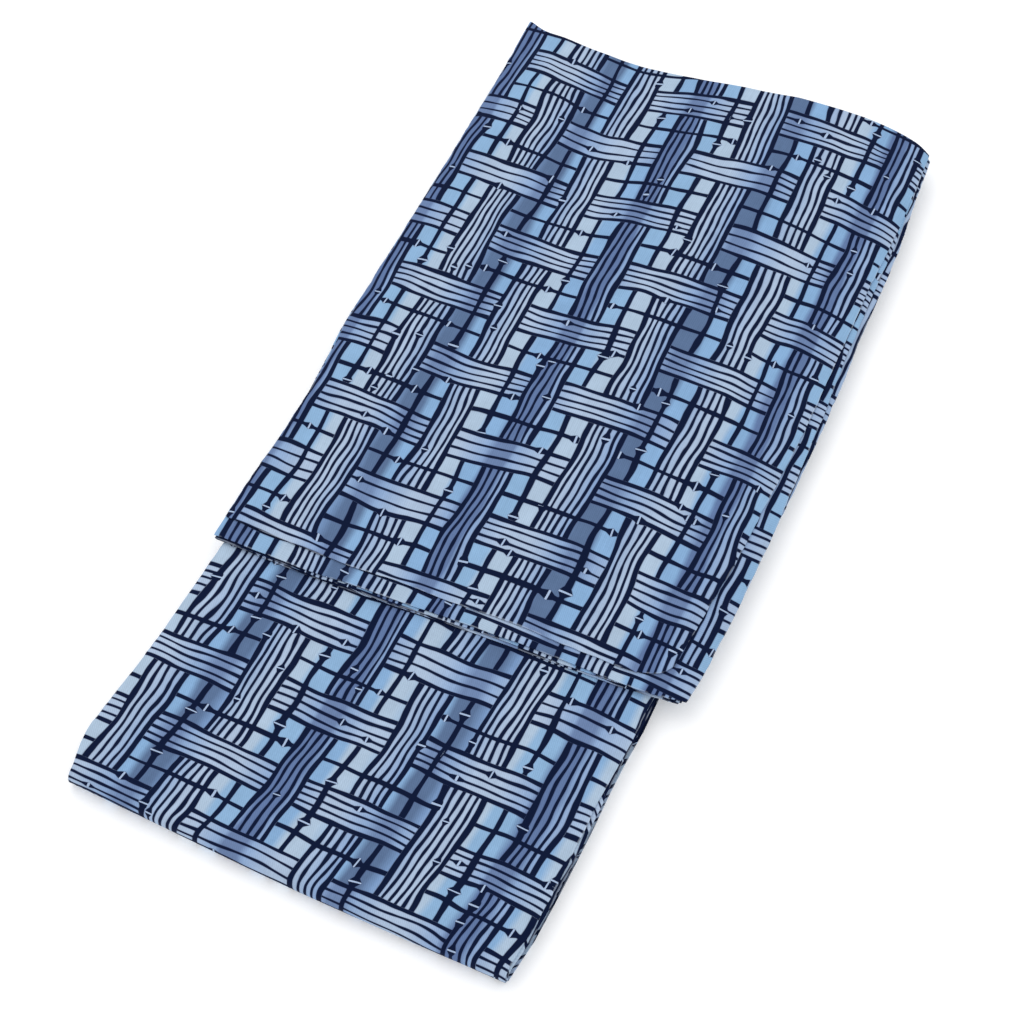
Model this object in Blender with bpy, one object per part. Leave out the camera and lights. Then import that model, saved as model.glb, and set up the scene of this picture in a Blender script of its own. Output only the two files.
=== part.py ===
"""A cotton yukata folded flat lengthwise, then in half at the waist, with its sleeves laid over the body.

Metres, +Z up. It lies on its underside at z = 0. X runs across the folded body and Y along it: the waist
fold is at the low end of Y and the shoulders at the high end. The origin is under the middle of its box.
"""

import math
from collections import namedtuple

import bmesh
import bpy

MM = 0.001

# The folded garment's driving sizes: the sleeves lie turned a little on the body
BODY_WIDTH = 302 * MM
BODY_LENGTH = 714 * MM
SLEEVE_WIDTH = 330 * MM
SLEEVE_LENGTH = 512 * MM
SLEEVE_TURN = math.radians(2.55)
SLEEVE_OVERHANG = 4 * MM
COLLAR_WIDTH = 55 * MM
CLOTH = 1.2 * MM
GAP = 0.4 * MM
PITCH = CLOTH + GAP

# The hidden layers between the body's two turns of cloth
HIDDEN_LAYERS = 6
HIDDEN_LAYER = 1.5 * MM
LAYER_GROOVE = 1.1 * MM
HIDDEN_BASE = 2 * PITCH
HIDDEN_TOP = HIDDEN_BASE + HIDDEN_LAYERS * HIDDEN_LAYER
HIDDEN_INSET = 3.0 * MM
CORE_ACROSS_WAIST = (0.03, 0.2, 0.4, 0.6, 0.8, 0.97)
CORE_ACROSS_SHOULDERS = (0.03, 0.1, 0.2, 0.3, 0.4, 0.5, 0.6, 0.7, 0.8, 0.9, 0.97)
CORE_ALONG = (0.012, 0.03, 0.07, 0.13, 0.2, 0.27, 0.34, 0.42, 0.5, 0.58, 0.66, 0.74, 0.82, 0.9, 0.96, 0.985)
LAYER_CREST = (0.3, 0.7)
TOP_RIM = 4.4 * MM

# The waves along each hidden layer's edge, shifted from layer to layer
Wave = namedtuple("Wave", "height length shift")
LONG_WAVE = Wave(0.9 * MM, 41 * MM, 2.1)
SHORT_WAVE = Wave(0.5 * MM, 17 * MM, 4.7)

# Mid heights of the body's four leaves and of the sleeves' four leaves above them
BACK_UNDER = CLOTH / 2
FRONT_UNDER = BACK_UNDER + PITCH
FRONT_TOP = HIDDEN_TOP + GAP + CLOTH / 2
BACK_TOP = FRONT_TOP + PITCH
RIGHT_SLEEVE_LEVELS = (BACK_TOP + PITCH, BACK_TOP + 2 * PITCH)
LEFT_SLEEVE_LEVELS = (BACK_TOP + 3 * PITCH, BACK_TOP + 4 * PITCH)

# The waist fold stands out this far past the straight part of the leaves
WAIST_BULGE = 6.4 * MM
WAIST_STEPS = 8
SHOULDER_STEPS = 6

# Where the stack starts to sink towards its side edges, how softly, and at what final slope
EDGE_START = BODY_WIDTH / 2 - 8 * MM
EDGE_SOFTNESS = 8 * MM
EDGE_SLOPE = 0.2

# The collar's bulk, which lifts the leaves over it by the shoulders
COLLAR_CLOTH = 1.0 * MM
COLLAR_LIFT = 3.1 * MM
COLLAR_SPAN = (52 * MM, 138 * MM)
COLLAR_FADE = (38 * MM, 24 * MM)
COLLAR_START = 296 * MM
COLLAR_START_FADE = 55 * MM
COLLAR_END_INSET = 3 * MM
COLLAR_STEPS = 6
COLLAR_ROWS = (0.0, 0.5, 1.0)

# How far the body's shoulders stay back from the sleeves' shoulder line
SHOULDER_INSET = 6 * MM

# Soft ridges along the cloth: place of the middle, half width, half length and height
Ridge = namedtuple("Ridge", "x y half_width half_length height")
RIDGES = (
    Ridge(-104 * MM, 150 * MM, 24 * MM, 230 * MM, 1.1 * MM),
    Ridge(-30 * MM, 215 * MM, 30 * MM, 160 * MM, 0.8 * MM),
    Ridge(22 * MM, -20 * MM, 26 * MM, 150 * MM, 0.9 * MM),
    Ridge(88 * MM, 60 * MM, 28 * MM, 190 * MM, 1.2 * MM),
    Ridge(-78 * MM, -250 * MM, 27 * MM, 120 * MM, 0.8 * MM),
    Ridge(58 * MM, -262 * MM, 30 * MM, 110 * MM, 1.0 * MM),
)

# How far an edge strays from its straight line, towards +X or +Y, at shares of the way along it
Stray = namedtuple("Stray", "share off")
SHOULDER_STRAY = (
    Stray(0.00, 7 * MM),
    Stray(0.12, 0 * MM),
    Stray(0.29, -6 * MM),
    Stray(0.45, 0 * MM),
    Stray(0.62, 9 * MM),
    Stray(0.78, 13 * MM),
    Stray(0.88, 11 * MM),
    Stray(0.95, 4 * MM),
    Stray(1.00, -8 * MM),
)
WAIST_STRAY = (
    Stray(0.00, 3 * MM),
    Stray(0.30, 1 * MM),
    Stray(0.70, -2 * MM),
    Stray(1.00, -3 * MM),
)
BODY_LEFT_STRAY = (
    Stray(0.00, 2 * MM),
    Stray(0.06, -2 * MM),
    Stray(0.20, 1 * MM),
    Stray(0.50, 3 * MM),
    Stray(1.00, 1 * MM),
)
BODY_RIGHT_STRAY = (
    Stray(0.00, -2 * MM),
    Stray(0.05, 0 * MM),
    Stray(0.60, 1 * MM),
    Stray(1.00, -4 * MM),
)
# The front lies a little past the back along the lower right edge
FRONT_RIGHT_STRAY = (
    Stray(0.00, -1.0 * MM),
    Stray(0.05, 2.4 * MM),
    Stray(0.30, 1.8 * MM),
    Stray(0.60, 0.0 * MM),
    Stray(1.00, -2.5 * MM),
)

# The two sleeves' leaves, each with the strays of its near hem, its left edge and its right edge
SleeveLeaf = namedtuple("SleeveLeaf", "near left right")
LEFT_SLEEVE_UPPER = SleeveLeaf(
    near=(
        Stray(0.00, 5 * MM),
        Stray(0.20, 4 * MM),
        Stray(0.28, 0 * MM),
        Stray(0.50, 8 * MM),
        Stray(0.70, 6 * MM),
        Stray(0.93, 10 * MM),
        Stray(1.00, 16 * MM),
    ),
    left=(Stray(0.00, 1 * MM), Stray(1.00, 0 * MM)),
    right=(
        Stray(0.00, -20 * MM),
        Stray(0.10, -13 * MM),
        Stray(0.45, -2 * MM),
        Stray(0.70, 2 * MM),
        Stray(0.88, -3 * MM),
        Stray(1.00, -4 * MM),
    ),
)
LEFT_SLEEVE_LOWER = SleeveLeaf(
    near=(
        Stray(0.00, -5 * MM),
        Stray(0.10, -7 * MM),
        Stray(0.30, -5 * MM),
        Stray(0.55, -1 * MM),
        Stray(0.90, 2 * MM),
        Stray(1.00, 12 * MM),
    ),
    left=(Stray(0.00, 0 * MM), Stray(1.00, 0 * MM)),
    right=(
        Stray(0.00, -13 * MM),
        Stray(0.07, -5 * MM),
        Stray(0.45, 3 * MM),
        Stray(0.75, 4 * MM),
        Stray(1.00, -3 * MM),
    ),
)
RIGHT_SLEEVE_UPPER = SleeveLeaf(
    near=(
        Stray(0.00, -10 * MM),
        Stray(0.12, -13 * MM),
        Stray(0.30, -10 * MM),
        Stray(0.55, -4 * MM),
        Stray(0.90, -1 * MM),
        Stray(1.00, 8 * MM),
    ),
    left=(Stray(0.00, -2 * MM), Stray(1.00, 2 * MM)),
    right=(
        Stray(0.00, -11 * MM),
        Stray(0.07, -2 * MM),
        Stray(0.30, 3 * MM),
        Stray(0.60, 5 * MM),
        Stray(0.80, 3 * MM),
        Stray(1.00, -1 * MM),
    ),
)
RIGHT_SLEEVE_LOWER = SleeveLeaf(
    near=(
        Stray(0.00, -7 * MM),
        Stray(0.25, -9 * MM),
        Stray(0.50, -8 * MM),
        Stray(0.90, 2 * MM),
        Stray(1.00, 10 * MM),
    ),
    left=(Stray(0.00, 1 * MM), Stray(1.00, 3 * MM)),
    right=(
        Stray(0.00, -14 * MM),
        Stray(0.10, -6 * MM),
        Stray(0.50, 1 * MM),
        Stray(0.80, 4 * MM),
        Stray(1.00, 0 * MM),
    ),
)

# Places of the walls' columns and rows. Every leaf shares them, so that the leaves nest with an even gap.
COLUMNS = tuple(x * MM for x in (-143, -124, -102, -79, -55, -30, -5, 20, 42, 62, 82, 102, 122, 143))
ROWS = tuple(y * MM for y in (-335, -300, -255, -205, -130, -85, -40, 5, 50, 95, 140, 185, 230, 255, 280, 305, 335))
ROWS_UNDER = tuple(y * MM for y in (-300, -130, 95, 305))
ROW_CLEARANCE = 8 * MM

# One row of a wall: its mid points and, for each, the way to the cloth's outer face
Row = namedtuple("Row", "points outward")


def clear_scene():
    for thing in list(bpy.data.objects):
        bpy.data.objects.remove(thing, do_unlink=True)


def mix(low, high, share):
    return low + (high - low) * share


def soft_step(value):
    """0 below 0, 1 above 1, and a smooth S between."""
    value = min(max(value, 0.0), 1.0)
    return value * value * (3 - 2 * value)


def along(strays, share):
    """How far an edge strays at this share, on a smooth curve through its table's rows."""
    count = len(strays)
    slopes = []
    for i in range(count):
        before = strays[max(i - 1, 0)]
        after = strays[min(i + 1, count - 1)]
        slopes.append((after.off - before.off) / (after.share - before.share))
    i = 0
    while i < count - 2 and share > strays[i + 1].share:
        i += 1
    start, end = strays[i], strays[i + 1]
    span = end.share - start.share
    t = (share - start.share) / span
    return (
        (1 + 2 * t) * (1 - t) ** 2 * start.off
        + t * (1 - t) ** 2 * span * slopes[i]
        + t * t * (3 - 2 * t) * end.off
        + t * t * (t - 1) * span * slopes[i + 1]
    )


def edge_fall(x):
    """How far the stack has sunk at this distance to the side."""
    past = max(abs(x) - EDGE_START, 0.0)
    return EDGE_SLOPE * (math.hypot(past, EDGE_SOFTNESS) - EDGE_SOFTNESS)


def collar_lift(x, y):
    rise_x = soft_step((x - COLLAR_SPAN[0] + COLLAR_FADE[0]) / COLLAR_FADE[0])
    fall_x = soft_step((COLLAR_SPAN[1] + COLLAR_FADE[1] - x) / COLLAR_FADE[1])
    rise_y = soft_step((y - COLLAR_START + COLLAR_START_FADE) / COLLAR_START_FADE)
    return COLLAR_LIFT * rise_x * fall_x * rise_y


def swell(x, y):
    """What ridges, the collar's bulk and the sunken edges add to the height of a leaf."""
    height = max(collar_lift(x, y), 0.0) - edge_fall(x)
    for ridge in RIDGES:
        off_x = (x - ridge.x) / ridge.half_width
        off_y = (y - ridge.y) / ridge.half_length
        height += ridge.height * math.exp(-(off_x**2) - off_y**2)
    return height


def leaf_row(edges, share, line, level, outward):
    """One row across a flat leaf. Line gives the row's place along Y at each share of the way across."""
    left = edges[0](share)
    right = edges[1](share)
    columns = (left, (left + COLUMNS[0]) / 2, *COLUMNS, (right + COLUMNS[-1]) / 2, right)
    points = []
    for x in columns:
        y = line((x - left) / (right - left))
        points.append((x, y, level(x, y)))
    return Row(points, [(0.0, 0.0, outward)] * len(columns))


def leaf_rows(edges, near, far, level, outward, rows=ROWS):
    """All the rows of a flat leaf from its near line to its far line."""
    start = max(near(k / 10) for k in range(11))
    end = min(far(k / 10) for k in range(11))
    made = [leaf_row(edges, 0.0, near, level, outward)]
    for y in rows:
        if start + ROW_CLEARANCE < y < end - ROW_CLEARANCE / 2:
            share = (y - start) / (end - start)
            made.append(leaf_row(edges, share, lambda across: y, level, outward))
    made.append(leaf_row(edges, 1.0, far, level, outward))
    return made


def turn_rows(first, last, depth, steps, side):
    """The rows of a fold from one leaf's last row to the next leaf's first, bulging by depth along Y."""
    rows = []
    for step in range(1, steps):
        angle = math.pi * step / steps
        points = []
        ways = []
        for a, b, way in zip(first.points, last.points, first.outward):
            middle = ((a[1] + b[1]) / 2, (a[2] + b[2]) / 2)
            rise = (a[2] - b[2]) / 2
            x = mix(a[0], b[0], step / steps)
            points.append((x, middle[0] + depth * math.sin(angle), middle[1] + rise * math.cos(angle)))
            slope_y = side * math.sin(angle) / abs(depth)
            slope_z = way[2] * math.cos(angle) / abs(rise)
            size = math.hypot(slope_y, slope_z)
            ways.append((0.0, slope_y / size, slope_z / size))
        rows.append(Row(points, ways))
    return rows


def wall(name, rows, thickness, material):
    """A closed wall of cloth round the mid points of its rows."""
    mesh = bmesh.new()
    half = thickness / 2
    faces_out = []
    faces_in = []
    for row in rows:
        outer = []
        inner = []
        for point, way in zip(row.points, row.outward):
            outer.append(mesh.verts.new([p + half * w for p, w in zip(point, way)]))
            inner.append(mesh.verts.new([p - half * w for p, w in zip(point, way)]))
        faces_out.append(outer)
        faces_in.append(inner)
    last_row = len(rows) - 1
    last_column = len(rows[0].points) - 1
    for i in range(last_row):
        for j in range(last_column):
            for side in (faces_out, faces_in):
                mesh.faces.new((side[i][j], side[i + 1][j], side[i + 1][j + 1], side[i][j + 1]))
        for j in (0, last_column):
            mesh.faces.new((faces_out[i][j], faces_out[i + 1][j], faces_in[i + 1][j], faces_in[i][j]))
    for i in (0, last_row):
        for j in range(last_column):
            mesh.faces.new((faces_out[i][j], faces_out[i][j + 1], faces_in[i][j + 1], faces_in[i][j]))
    return finish(name, mesh, material)


def finish(name, mesh, material):
    """Turns the faces outwards and puts the mesh in the scene under its name."""
    bmesh.ops.recalc_face_normals(mesh, faces=mesh.faces)
    data = bpy.data.meshes.new(name)
    mesh.to_mesh(data)
    mesh.free()
    data.materials.append(material)
    data.shade_smooth()
    data.set_sharp_from_angle(angle=math.radians(50))
    thing = bpy.data.objects.new(name, data)
    bpy.context.scene.collection.objects.link(thing)
    return thing


def cloth_material(name, colour, roughness):
    material = bpy.data.materials.new(name)
    material.use_nodes = True
    shader = material.node_tree.nodes["Principled BSDF"]
    shader.inputs["Base Color"].default_value = (*colour, 1.0)
    shader.inputs["Roughness"].default_value = roughness
    shader.inputs["Metallic"].default_value = 0.0
    return material


def shoulder_line(across):
    return BODY_LENGTH / 2 + along(SHOULDER_STRAY, across)


def body_shoulder(across):
    return shoulder_line(across) - SHOULDER_INSET


def waist_start(across):
    """Where the body's leaves are still straight, just before they round the waist fold."""
    return along(WAIST_STRAY, across) - BODY_LENGTH / 2 + WAIST_BULGE + CLOTH / 2


def body_left(share):
    return along(BODY_LEFT_STRAY, share) - BODY_WIDTH / 2


def body_right(share):
    return along(BODY_RIGHT_STRAY, share) + BODY_WIDTH / 2


def front_right(share):
    return along(FRONT_RIGHT_STRAY, share) + BODY_WIDTH / 2


def sleeve_left_line(share):
    """The left edge of a sleeve that lies turned on the body, before it strays."""
    return -BODY_WIDTH / 2 - SLEEVE_OVERHANG - share * SLEEVE_LENGTH * math.tan(SLEEVE_TURN)


def body_length_piece(material):
    """The left body length, back and front in one cloth: it runs from the back hem under the stack, round
    the waist fold, up to the shoulders, and returns inside itself as the front."""
    back = (body_left, body_right)
    front = (body_left, front_right)

    def leaf(edges, level, outward, rows=ROWS):
        return leaf_rows(edges, waist_start, body_shoulder, level, outward, rows)

    back_under = leaf(back, lambda x, y: BACK_UNDER, -1, ROWS_UNDER)[::-1]
    back_top = leaf(back, lambda x, y: BACK_TOP + swell(x, y), 1)
    front_top = leaf(front, lambda x, y: FRONT_TOP + swell(x, y), -1)[::-1]
    front_under = leaf(front, lambda x, y: FRONT_UNDER, 1, ROWS_UNDER)
    rows = back_under
    rows += turn_rows(back_under[-1], back_top[0], -WAIST_BULGE, WAIST_STEPS, -1)
    rows += back_top
    rows += turn_rows(back_top[-1], front_top[0], PITCH / 2, SHOULDER_STEPS, 1)
    rows += front_top
    rows += turn_rows(front_top[-1], front_under[0], PITCH - WAIST_BULGE, WAIST_STEPS, 1)
    rows += front_under
    return wall("body_left", rows, CLOTH, material)


def sleeve(name, lower, upper, levels, reach, material):
    """A sleeve laid flat: one cloth, folded at the shoulder line, with its front leaf under its back leaf."""

    def far(across):
        return shoulder_line(across) - reach

    def leaf(shape, base, outward):
        def near(across):
            return BODY_LENGTH / 2 - SLEEVE_LENGTH + along(shape.near, across)

        def left(share):
            return sleeve_left_line(share) + along(shape.left, share)

        def right(share):
            return sleeve_left_line(share) + SLEEVE_WIDTH + along(shape.right, share)

        return leaf_rows((left, right), near, far, lambda x, y: base + swell(x, y), outward)

    under = leaf(lower, levels[0], -1)
    over = leaf(upper, levels[1], 1)[::-1]
    rows = under + turn_rows(under[-1], over[0], PITCH / 2, SHOULDER_STEPS, 1) + over
    return wall(name, rows, CLOTH, material)


def layer_wander(layer, place):
    """How far a hidden layer's edge strays at this place along it: a long wave and a short one."""
    long_wave = LONG_WAVE.height * math.sin(place / LONG_WAVE.length + LONG_WAVE.shift * layer)
    short_wave = SHORT_WAVE.height * math.sin(place / SHORT_WAVE.length + SHORT_WAVE.shift * layer)
    return long_wave + short_wave


def core_outline(height, inset, layer):
    """The outline of the hidden layers at one height: rounded to the waist fold, uneven at the other edges."""
    middle = (HIDDEN_BASE + HIDDEN_TOP) / 2
    off = min(abs(height - middle) / (HIDDEN_TOP - middle), 1.0)
    bulge = (WAIST_BULGE - 2 * PITCH) * math.sqrt(1 - off**2)
    margin = HIDDEN_INSET + inset
    points = []
    for across in CORE_ACROSS_WAIST:
        x = mix(body_left(0.0) + margin, body_right(0.0) - margin, across)
        points.append((x, waist_start(across) - bulge))
    for share in CORE_ALONG:
        y = mix(waist_start(1.0), body_shoulder(1.0) - margin, share)
        points.append((body_right(share) - margin + layer_wander(layer, y), y))
    for across in CORE_ACROSS_SHOULDERS[::-1]:
        x = mix(body_left(1.0) + margin, body_right(1.0) - margin, across)
        points.append((x, body_shoulder(across) - margin + layer_wander(layer, x)))
    for share in CORE_ALONG[::-1]:
        y = mix(waist_start(0.0), body_shoulder(0.0) - margin, share)
        points.append((body_left(share) + margin - layer_wander(layer, -y), y))
    return [(x, y, height) for x, y in points]


def hidden_layers_piece(material):
    """The layers inside, as one rounded solid whose edges show each fold of cloth as a round step."""
    rings = [core_outline(HIDDEN_BASE, LAYER_GROOVE, 0)]
    for layer in range(HIDDEN_LAYERS):
        base = HIDDEN_BASE + layer * HIDDEN_LAYER
        for share in LAYER_CREST:
            rings.append(core_outline(base + share * HIDDEN_LAYER, 0.0, layer))
        inset = TOP_RIM if layer == HIDDEN_LAYERS - 1 else LAYER_GROOVE
        rings.append(core_outline(base + HIDDEN_LAYER, inset, layer))
    mesh = bmesh.new()
    loops = [[mesh.verts.new(point) for point in ring] for ring in rings]
    count = len(loops[0])
    for low, high in zip(loops, loops[1:]):
        for i in range(count):
            j = (i + 1) % count
            mesh.faces.new((low[i], low[j], high[j], high[i]))
    mesh.faces.new(loops[0])
    mesh.faces.new(loops[-1])
    bmesh.ops.triangulate(mesh, faces=[f for f in mesh.faces if len(f.verts) > 4])
    return finish("hidden_layers", mesh, material)


def collar_piece(material):
    """The collar's neck stretch, folded double across the stack by the shoulders, on the hidden layers."""
    pitch = COLLAR_CLOTH + GAP
    low = HIDDEN_TOP + GAP + COLLAR_CLOTH / 2
    left, right = COLLAR_SPAN
    shares = [(x + BODY_WIDTH / 2) / BODY_WIDTH for x in COLLAR_SPAN]
    far = min(body_shoulder(share) for share in shares) - COLLAR_END_INSET

    def leaf(shares, height, outward):
        rows = []
        for share in shares:
            y = far - COLLAR_WIDTH * (1 - share)
            points = [(mix(left, right, k / COLLAR_STEPS), y, height) for k in range(COLLAR_STEPS + 1)]
            rows.append(Row(points, [(0.0, 0.0, outward)] * len(points)))
        return rows

    under = leaf(COLLAR_ROWS, low, -1)
    over = leaf(COLLAR_ROWS[::-1], low + pitch, 1)
    rows = under + turn_rows(under[-1], over[0], pitch / 2, SHOULDER_STEPS, 1) + over
    return wall("collar", rows, COLLAR_CLOTH, material)


def centre_on_footprint(things):
    """Moves every piece so that the origin lies under the middle of the whole garment's box."""
    lows = []
    highs = []
    for axis in (0, 1):
        places = [vertex.co[axis] for thing in things for vertex in thing.data.vertices]
        lows.append(min(places))
        highs.append(max(places))
    middle = [(low + high) / 2 for low, high in zip(lows, highs)]
    for thing in things:
        for vertex in thing.data.vertices:
            vertex.co[0] -= middle[0]
            vertex.co[1] -= middle[1]


def main():
    clear_scene()
    things = [
        body_length_piece(cloth_material("printed_cotton_body", (0.19, 0.30, 0.55), 0.9)),
        hidden_layers_piece(cloth_material("printed_cotton_inside", (0.15, 0.24, 0.45), 0.95)),
        collar_piece(cloth_material("printed_cotton_collar", (0.17, 0.27, 0.50), 0.9)),
        sleeve(
            "sleeve_right",
            RIGHT_SLEEVE_LOWER,
            RIGHT_SLEEVE_UPPER,
            RIGHT_SLEEVE_LEVELS,
            1.5 * MM,
            cloth_material("printed_cotton_right_sleeve", (0.20, 0.32, 0.58), 0.9),
        ),
        sleeve(
            "sleeve_left",
            LEFT_SLEEVE_LOWER,
            LEFT_SLEEVE_UPPER,
            LEFT_SLEEVE_LEVELS,
            0.0,
            cloth_material("printed_cotton_left_sleeve", (0.22, 0.36, 0.64), 0.9),
        ),
    ]
    centre_on_footprint(things)


main()
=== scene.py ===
# %% [markdown]
# # A cotton yukata, folded
# The real object is sewn from one bolt of narrow printed cotton. It is folded lengthwise, then in half at
# the waist, and its sleeves are laid over the shoulder end. The frame holds its plain solids. Here each
# solid gets its real look: thin sheets of cloth that lie on the solid's own form, and a printed pattern.

import math
from collections import namedtuple

import bpy
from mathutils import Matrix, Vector, noise


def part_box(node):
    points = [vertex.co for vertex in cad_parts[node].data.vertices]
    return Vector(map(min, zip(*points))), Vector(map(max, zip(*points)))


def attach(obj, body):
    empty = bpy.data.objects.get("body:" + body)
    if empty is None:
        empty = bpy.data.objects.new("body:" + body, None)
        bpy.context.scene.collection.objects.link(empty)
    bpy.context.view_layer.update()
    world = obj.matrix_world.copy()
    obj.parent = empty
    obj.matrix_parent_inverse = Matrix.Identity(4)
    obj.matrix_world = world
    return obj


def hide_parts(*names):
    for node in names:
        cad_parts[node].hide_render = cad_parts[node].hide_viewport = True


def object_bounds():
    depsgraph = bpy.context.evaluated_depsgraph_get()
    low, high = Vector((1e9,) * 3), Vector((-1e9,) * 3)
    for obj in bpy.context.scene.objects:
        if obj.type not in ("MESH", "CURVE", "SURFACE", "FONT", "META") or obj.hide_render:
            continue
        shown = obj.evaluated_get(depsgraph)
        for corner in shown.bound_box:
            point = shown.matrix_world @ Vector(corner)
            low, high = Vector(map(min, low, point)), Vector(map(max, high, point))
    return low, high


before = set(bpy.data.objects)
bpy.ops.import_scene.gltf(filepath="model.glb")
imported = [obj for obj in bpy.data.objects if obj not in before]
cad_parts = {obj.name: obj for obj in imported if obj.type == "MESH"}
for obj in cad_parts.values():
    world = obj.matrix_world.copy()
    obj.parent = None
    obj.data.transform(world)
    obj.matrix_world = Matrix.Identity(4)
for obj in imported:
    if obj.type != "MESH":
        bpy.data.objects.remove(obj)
cad_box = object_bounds()
bpy.ops.object.select_all(action="DESELECT")
MM = 0.001
print("nodes:", ", ".join(sorted(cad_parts)))

# %% [markdown]
# ## The sizes of the folded garment
# A maker lays the garment out from a few straight lines: a body folded to a slab, and sleeves across its
# shoulder end, turned by a few degrees. All sizes are millimetres from the middle of the body, as it is
# easier to think in than metres, and one helper moves each point to its place in the frame at the end.

# %% Widths and lengths
BODY_WIDTH = 302
BODY_LENGTH = 714
SLEEVE_WIDTH = 330
SLEEVE_LENGTH = 512
SLEEVE_TURN = math.tan(math.radians(2.55))
SLEEVE_OVERHANG = 4
WAIST_BULGE = 6.4
SHOULDER_INSET = 6
PITCH = 1.6
SOLID_CLOTH = 1.2
print("body", BODY_WIDTH, "by", BODY_LENGTH, "mm, sleeves", SLEEVE_WIDTH, "by", SLEEVE_LENGTH, "mm")

# %% [markdown]
# ## The heights of the leaves
# Each leaf of cloth lies just over the one below, a pitch apart. The back wraps the whole stack, the front
# wraps the hidden layers inside it, and both sleeves lie on top. The frame's origin is under the middle of
# the stack's box, so `spot` moves a point by how far that is from the middle of the body.

# %% Heights and places
BACK_UNDER = 0.45
FRONT_UNDER = 2.2
HIDDEN_BASE = 3.2
HIDDEN_TOP = 11.95
FRONT_TOP = 13.2
BACK_TOP = 14.8
RIGHT_SLEEVE_LEVELS = (16.4, 18.0)
LEFT_SLEEVE_LEVELS = (19.6, 21.2)

# Where the plain solids start in the garment's own millimetres: the stack's low X and the body's low Y
STACK_LOW_X = -177.8
BODY_LOW_Y = -360.0
shift_x = cad_box[0].x / MM - STACK_LOW_X
shift_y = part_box("body_left")[0].y / MM - BODY_LOW_Y


def spot(x, y, z):
    return Vector(((x + shift_x) * MM, (y + shift_y) * MM, z * MM))


print("the frame's origin is off the body's middle by", round(shift_x, 2), round(shift_y, 2), "mm")

# %% [markdown]
# ## Edges that stray
# Cloth never keeps to a straight line. Each table says how far an edge strays towards +X or +Y, at shares
# of the way along it, and a smooth curve runs through its rows. Tables like these are quick to adjust by
# eye, one row at a time, and they keep the straight sizes above readable.

# %% Straying edges
SHOULDER_STRAY = (
    (0, 9.5), (0.05, 1.5), (0.12, -1), (0.2, -3.5), (0.29, -5), (0.375, -2), (0.45, 2), (0.545, 8.5),
    (0.62, 11.5), (0.78, 14), (0.88, 12), (0.95, 7), (1, 0),
)
WAIST_STRAY = ((0, 0), (0.3, -2.8), (0.5, -4.6), (0.7, -5), (1, -4.3))
BODY_LEFT_STRAY = ((0, 3), (0.036, -2.5), (0.08, -0.5), (0.14, 3), (0.3, 4), (0.5, 4), (1, 1))
BODY_RIGHT_STRAY = ((0, -2), (0.05, 0), (0.6, 1), (1, -4))
FRONT_RIGHT_STRAY = ((0, -1), (0.05, 2.4), (0.3, 1.8), (0.6, 0.4), (0.9, -2.6), (1, -4))

SleeveLeaf = namedtuple("SleeveLeaf", "near left right")
LEFT_SLEEVE_UPPER = SleeveLeaf(
    near=(
        (0, 5.5), (0.1, 4), (0.3, 4.5), (0.41, 7), (0.53, 7), (0.66, 9.5), (0.8, 9), (0.91, 9), (0.955, 12),
        (0.985, 17), (1, 25),
    ),
    left=((0, 1), (0.05, 1.5), (0.21, 5.5), (0.3, 3.8), (0.36, 1), (0.58, 2), (0.83, 2), (1, 0)),
    right=(
        (0, -20), (0.067, -16), (0.14, -12.6), (0.29, -8.1), (0.4, -4.9), (0.58, -3.3), (0.7, -1.9),
        (0.84, 0), (0.95, -0.2), (1, -1),
    ),
)
LEFT_SLEEVE_LOWER = SleeveLeaf(
    near=(
        (0, -10.5), (0.23, -9.5), (0.29, -7.5), (0.47, -4), (0.65, -1.5), (0.83, -0.5), (0.93, 0.5), (1, 6),
    ),
    left=((0, 0.5), (0.05, 1), (0.21, 5), (0.3, 3.3), (0.36, 0.5), (0.58, 1.5), (0.83, 1.5), (1, 0)),
    right=(
        (0, -3), (0.05, 0), (0.19, 3.7), (0.3, 4.5), (0.4, 4), (0.5, 3.3), (0.6, 2), (0.7, 1.3), (0.8, 1.5),
        (0.9, 0.6), (1, -1),
    ),
)
RIGHT_SLEEVE_UPPER = SleeveLeaf(
    near=((0, -11.5), (0.23, -10.5), (0.29, -9), (0.38, -8.5), (0.47, -6), (0.65, -3), (0.83, -1.6), (1, 5)),
    left=((0, 1.5), (0.21, 4.5), (0.36, 1.5), (1, 2)),
    right=(
        (0, -6), (0.05, -3), (0.19, 1.5), (0.3, 4.5), (0.4, 6.1), (0.5, 6.9), (0.6, 6.6), (0.7, 5.8),
        (0.8, 6), (0.9, 3.8), (1, 1),
    ),
)
RIGHT_SLEEVE_LOWER = SleeveLeaf(
    near=((0, -11), (0.25, -10.5), (0.5, -6), (0.9, -1), (1, 4)),
    left=((0, 2), (0.21, 5), (1, 3)),
    right=((0, -8), (0.1, -2), (0.3, 3), (0.5, 5.4), (0.8, 4.6), (1, 0)),
)
print("the left sleeve's near edge strays by", LEFT_SLEEVE_UPPER.near[0][1], "mm at its left end")


# %% A smooth curve through a table
def stray(rows, share):
    """How far an edge strays at this share of the way along it, on a smooth curve through its table."""
    count = len(rows)
    i = 0
    while i < count - 2 and share > rows[i + 1][0]:
        i += 1
    slopes = []
    for k in (i, i + 1):
        before = rows[max(k - 1, 0)]
        after = rows[min(k + 1, count - 1)]
        slopes.append((after[1] - before[1]) / (after[0] - before[0]))
    span = rows[i + 1][0] - rows[i][0]
    t = (share - rows[i][0]) / span
    return (
        (1 + 2 * t) * (1 - t) ** 2 * rows[i][1]
        + t * (1 - t) ** 2 * span * slopes[0]
        + t * t * (3 - 2 * t) * rows[i + 1][1]
        + t * t * (t - 1) * span * slopes[1]
    )


def mix(low, high, share):
    return low + (high - low) * share


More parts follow.
